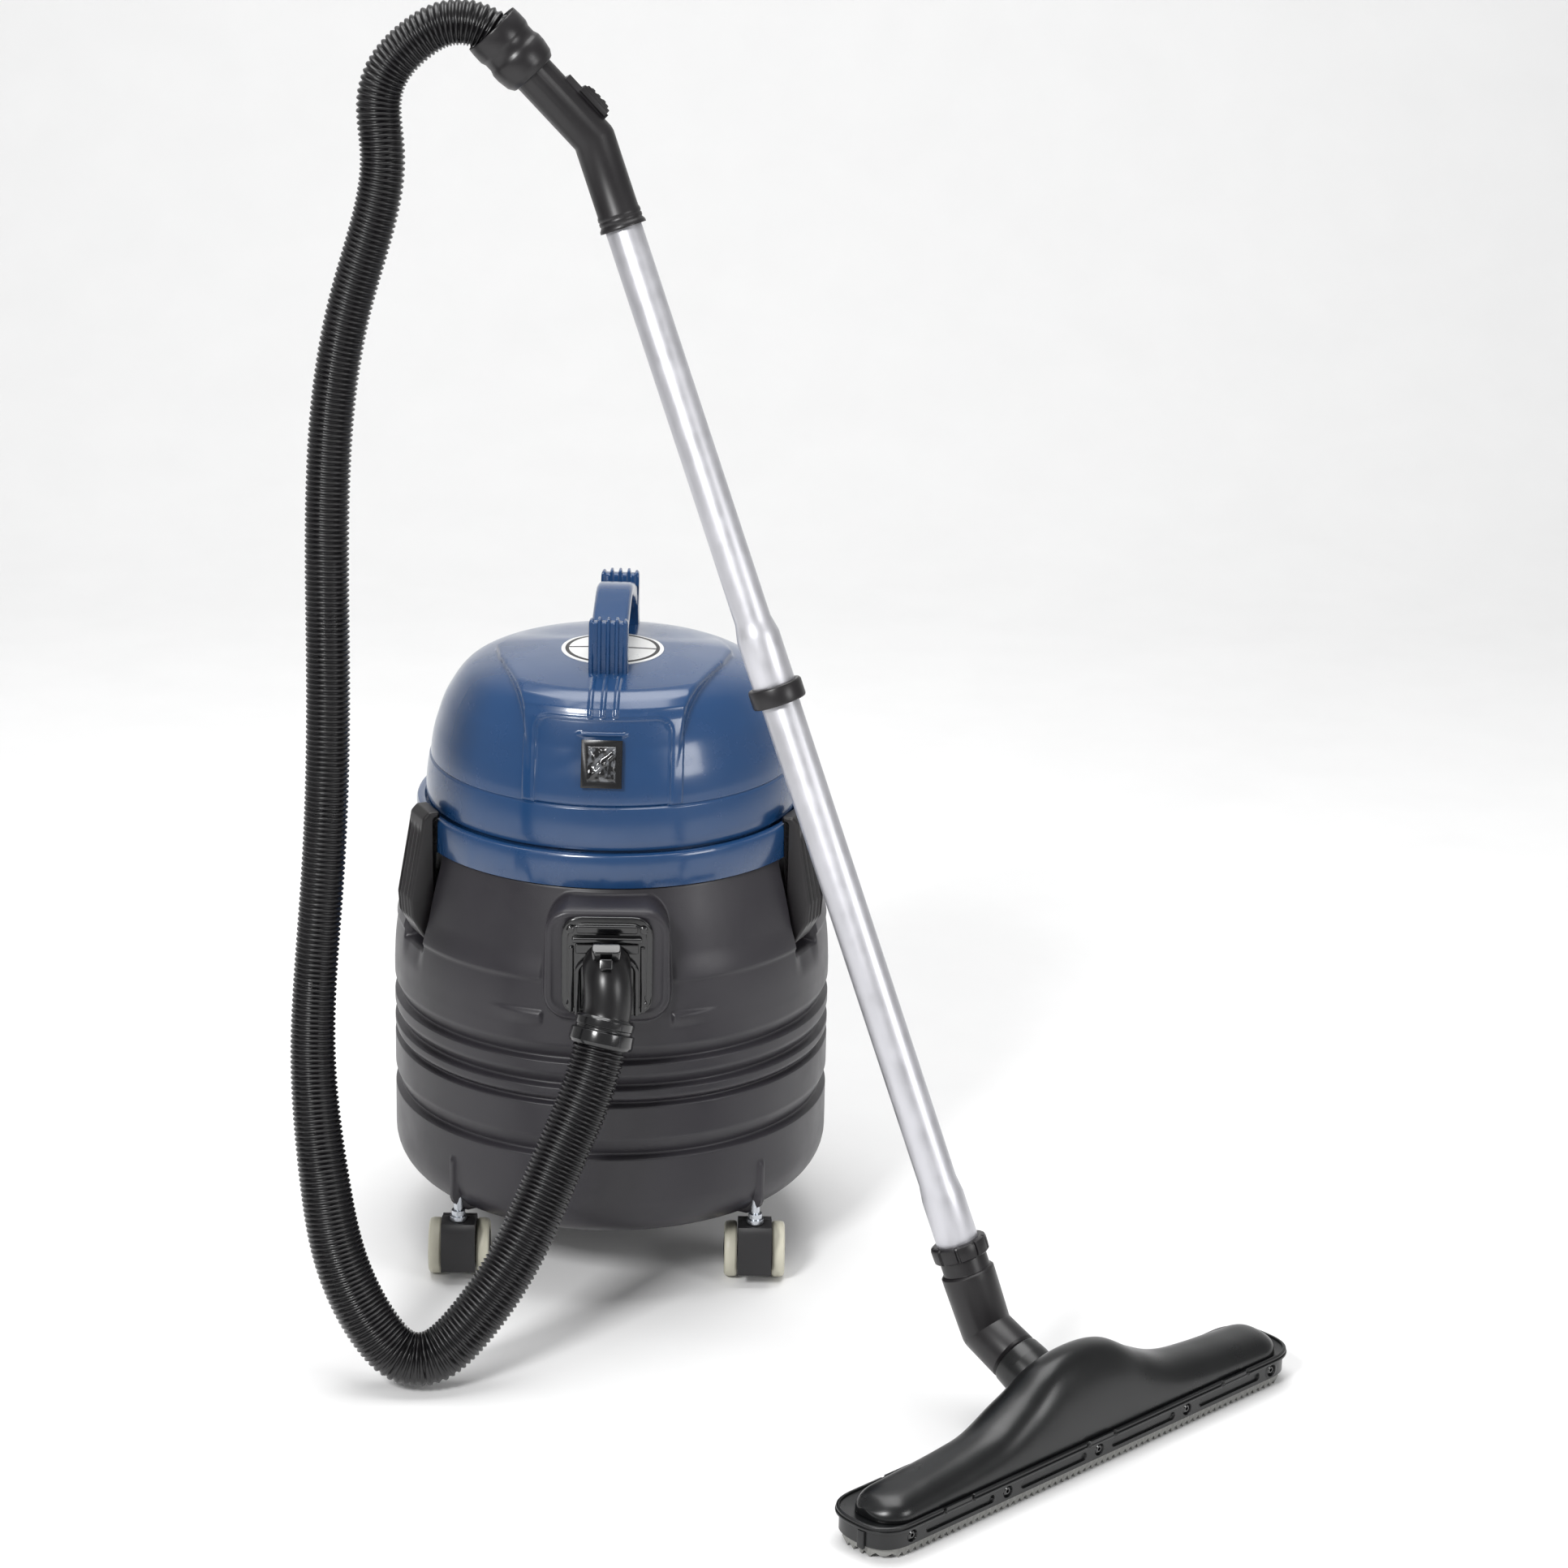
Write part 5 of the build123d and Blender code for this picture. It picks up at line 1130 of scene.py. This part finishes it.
def build_inlet():
    """Inlet plate with its stepped frame, horizontal bars, arched pocket and release clip."""
    face = np.array([0.0, -200.0, INLET_Z])
    layers = [
        (rect(78, 90, 18), 0.1, 5.0, 1.8),
        (rect(68, 79, 15, (0, 0.5)), 4.0, 8.2, 1.6),
        (rect(52, 7.0, 2.2, (0, 35.5)), 7.5, 11.0, 1.1),
        (rect(60, 4.6, 1.8, (0, 26.6)), 7.5, 14.0, 1.3),
        (rect(54, 9.0, 2.0, (0, 18.4)), 7.5, 11.5, 1.1),
    ]
    layers += [(rect(4.0, 60, 1.9, (x, -10)), 7.0, 11.0, 1.0) for x in (-30.5, 30.5)]
    parts = [slab(outline, face, (1, 0, 0), UP, low, high, edge) for outline, low, high, edge in layers]
    arch = [(-25, -41), (-25, -2)]
    arch += [(-25 * math.cos(a), -2 + 14 * math.sin(a)) for a in np.linspace(0.1, math.pi - 0.1, 20)]
    arch += [(25, -2), (25, -41)]
    line = np.array([face + np.array([x, -10.5, z]) for x, z in arch])
    section = fillet([(-2.2, -5), (2.2, -5), (2.2, 3.4), (-2.2, 3.4)], 1.6)
    parts.append(sweep(line, section, (0, -1, 0)))
    piece("inlet_plate_moulding", parts, "tank", "black_gloss", ["inlet_plate"], sharp=40)
    clip = [
        slab(rect(11, 8.5, 1.2), (0, -243.5, 343.0), (1, 0, 0), (0, 0.5, 0.87), -3, 6.5, 0.8),
        slab(rect(25, 12, 4.5), (0, -234.0, 352.0), (1, 0, 0), (0, 0.9, 0.43), -6.0, 4.2, 1.4),
    ]
    piece("inlet_release_clip", clip, "tank", "black_gloss", sharp=40)
    cuff = lathe(CUFF, (-4, -248, 275), INLET_HEADING, 0.6, 84)
    piece("hose_cuff_stepped", [cuff], "inlet_cuff", "black_gloss", ["hose_inlet_cuff"], sharp=40)


# ------------------------------------------------------------------ soft parts inside
def seal_ring(inner, outer, low, high, beads):
    """A flat rubber ring with small sealing beads on its upper face."""
    outline = [(inner, low), (outer, low), (outer, high - 0.7)]
    for radius in beads:
        outline += [(radius + 1.0, high - 0.7), (radius, high), (radius - 1.0, high - 0.7)]
    return lathe(outline + [(inner, high - 0.7)], radius=0.35, sides=160, steps=2)


BAG_LOW_Z, BAG_HEM_Z, BAG_TOP_Z = 249.0, 392.5, 397.6


def build_filter_bag():
    """Sewn cloth filter over the cage: soft pleats up its side, a flat sewn bottom and a hemmed mouth."""
    angle = np.arange(288) / 288 * TAU
    rings = [(0, 246.4), (20, 246.7), (50, 246.6), (68, 246.4), (72, 247.2)]
    for z in np.concatenate([np.linspace(BAG_LOW_Z, 392, 44), np.linspace(393, BAG_TOP_Z, 5)]):
        share = step((z - BAG_LOW_Z) / 12) * step((392 - z) / 14)
        pleat = 0.9 * np.cos(24 * angle + 0.4 * np.sin(z / 23)) * share
        hem = 0.7 if z > BAG_HEM_Z else 0.0
        rings.append((72.9 + 0.9 * (z - BAG_LOW_Z) / 149 + pleat + hem, z))
    rings += [(71.2, 397.8), (71.0, 330), (71.0, 249.2), (40, 248.8), (0, 248.8)]
    rows = []
    for radius, z in rings:
        rows.append(np.stack([radius * np.cos(angle), radius * np.sin(angle), z + 0 * angle], axis=-1))
    piece("cloth_filter_bag", [grid(np.array(rows))], "head", "filter_cloth", ["cloth_filter"], sharp=60)


def build_foam():
    """Two curved foam pads round the motor, with lightly quilted faces."""
    pads = []
    for side in (-1, 1):
        bearing = np.linspace(math.radians(18), math.radians(158), 90) * side
        section = fillet([(101, 426), (148.5, 426), (146.8, 470), (139, 499), (101, 499)], 5, steps=4)
        section = dense_loop(section, 5.0)
        quilt = np.cos(bearing * 30)[:, None] * np.cos(section[None, :, 1] / 5.5)
        middle = section.mean(axis=0)
        away = (section - middle) / np.linalg.norm(section - middle, axis=1)[:, None]
        shaped = section[None] - (1.2 + quilt)[..., None] * away[None]
        radius, z = shaped[..., 0], shaped[..., 1]
        turn = bearing[:, None]
        pads.append(loft(np.stack([radius * np.sin(turn), -radius * np.cos(turn), z], axis=-1)))
    piece("acoustic_foam_pads", pads, "head", "foam", ["acoustic_foam"], sharp=50)


def build_soft_parts():
    """The two seals, the filter bag and the foam."""
    tank_seal = seal_ring(164.1, 170.4, 392, 396, (165.6, 168.8))
    motor_seal = seal_ring(50.2, 66.8, 408, 411, (54, 58, 62))
    piece("tank_seal_beaded", [tank_seal], "tank", "seal_rubber", ["tank_gasket"])
    piece("motor_seal_beaded", [motor_seal], "head", "seal_rubber", ["motor_gasket"])
    build_filter_bag()
    build_foam()


# ------------------------------------------------------------------ handle slider
SLIDER_REST = 22.0      # place of the slider's middle along the handle, from its bend
CHEVRON = [(0, -8), (3.2, -8), (6.2, 0), (3.2, 8), (0, 8), (3.0, 0)]


def build_relief_slider():
    """Suction relief slider: a thick thumb block with three raised chevrons, on side runners."""
    across = np.cross(WAND_DIR, GRIP_DIR)
    across /= np.linalg.norm(across)
    origin = BEND + GRIP_DIR * SLIDER_REST
    layers = [(rect(28, 24, 1.5), 19.1, 22.0, 0.7), (rect(23, 19, 1.5), 21.5, 24.4, 0.8)]
    for start in (-8.0, -2.0, 4.0):
        chevron = [(start + along, over) for along, over in CHEVRON]
        layers.append((fillet(chevron, 0.7), 24.0, 25.6, 0.4))
    layers += [(rect(28, 1.9, 0.6, (0, side)), 15.6, 20, 0.4) for side in (-11.0, 11.0)]
    parts = [slab(outline, origin, GRIP_DIR, across, low, high, edge) for outline, low, high, edge in layers]
    piece("relief_slider_block", parts, "relief", "black_plastic", ["relief_slider"], sharp=40)


# ------------------------------------------------------------------ carried-over CAD nodes
# Width of the rounding on each CAD node's edges, in millimetres.
SOFTENED = {
    "head_ring": 1.2, "hose_top_cuff": 1.2, "handle_grip": 0.8, "wand_ring": 0.8, "inlet_elbow": 0.5,
    "switch_bezel": 0.8, "exhaust_grille": 0.3, "power_inlet": 0.4, "motor_base": 0.5, "filter_cage": 0.5,
    "inlet_deflector": 0.5, "motor_can": 0.8, "wand_upper": 0.3, "wand_lower": 0.3,
}
for caster in CASTERS:
    SOFTENED[f"caster_{caster}_hood"] = 1.6
    SOFTENED[f"caster_{caster}_hubs"] = 0.5


def soften_cad_edges():
    """Round the edges of the CAD nodes that stay visible."""
    for node, width in SOFTENED.items():
        round_edges(NODES[node], width)
        NODES[node].data.shade_smooth()


def build_all():
    """Make every piece."""
    build_hose()
    build_dome()
    build_carry_handle()
    build_badge()
    build_switch_cover()
    build_tank()
    build_latch(-1, "latch_left")
    build_latch(1, "latch_right")
    build_tyres()
    build_tool_body()
    build_tool_base()
    build_tool_strip()
    build_tool_elbow()
    build_inlet()
    build_soft_parts()
    build_relief_slider()
    soften_cad_edges()


# ------------------------------------------------------------------ stage
def build_stage():
    """A plain pale floor that curves up into a back wall."""
    half_width, wall_back, bend, top = 12.0, 3.2, 1.2, 9.0
    curve_start = wall_back - bend
    turn = np.linspace(0, math.pi / 2, 13)
    side = [(-half_width, 0.0)]
    side += [(curve_start + bend * math.sin(a), bend - bend * math.cos(a)) for a in turn]
    side += [(wall_back, top)]
    verts = [(x + AXIS[0], y + AXIS[1], z) for y, z in side for x in (-half_width, half_width)]
    faces = [(2 * k, 2 * k + 1, 2 * k + 3, 2 * k + 2) for k in range(len(side) - 1)]
    mesh = bpy.data.meshes.new("backdrop")
    mesh.from_pydata(verts, [], faces)
    mesh.shade_smooth()
    backdrop = bpy.data.objects.new("backdrop", mesh)
    bpy.context.scene.collection.objects.link(backdrop)
    mesh.materials.append(MATERIALS["paper"])


def area_light(name, place, target, size, power):
    """A rectangular lamp facing a target; places are in metres from the tank's axis."""
    data = bpy.data.lights.new(name, "AREA")
    data.shape = "RECTANGLE"
    data.size, data.size_y = size
    data.energy = power
    light = bpy.data.objects.new(name, data)
    light.location = Vector(place) + Vector(AXIS)
    light.rotation_euler = (Vector(target) - Vector(place)).to_track_quat("-Z", "Y").to_euler()
    bpy.context.scene.collection.objects.link(light)


def build_lights():
    """A key light from the front left, a weaker fill from the right, a wide top light and a dim white sky."""
    centre = (0.05, -0.15, 0.45)
    area_light("key", (-1.5, -3.0, 2.6), centre, (0.8, 0.8), 96)
    area_light("fill", (2.8, -2.4, 1.6), centre, (1.2, 1.2), 34)
    area_light("top", (0.0, 0.2, 3.4), centre, (2.4, 2.4), 84)
    world = bpy.data.worlds.new("studio")
    world.use_nodes = True
    background = world.node_tree.nodes["Background"].inputs
    background["Color"].default_value = (1, 1, 1, 1)
    background["Strength"].default_value = 0.34
    bpy.context.scene.world = world


def build_camera():
    """A viewpoint a little above the head, 3.8 m away, with the slight roll of a hand-held camera."""
    place = Vector((0.0716, -3.4442, 1.5772))
    forward = Vector((0.0223, 0.9481, -0.3171)).normalized()
    up_hint = Vector((-0.0140, 0.3175, 0.9482))
    right = forward.cross(up_hint).normalized()
    up = right.cross(forward)
    turn = Matrix((right, up, -forward)).transposed().to_4x4()
    data = bpy.data.cameras.new("camera")
    data.sensor_width = 36.0
    data.lens = 93.2
    data.clip_start, data.clip_end = 0.05, 60
    camera = bpy.data.objects.new("camera", data)
    camera.matrix_world = Matrix.Translation(place + Vector(AXIS)) @ turn
    bpy.context.scene.collection.objects.link(camera)
    bpy.context.scene.camera = camera
    bpy.context.scene.view_settings.view_transform = "Standard"


build_materials()
dress_cad_nodes()
build_all()
build_stage()
build_lights()
build_camera()
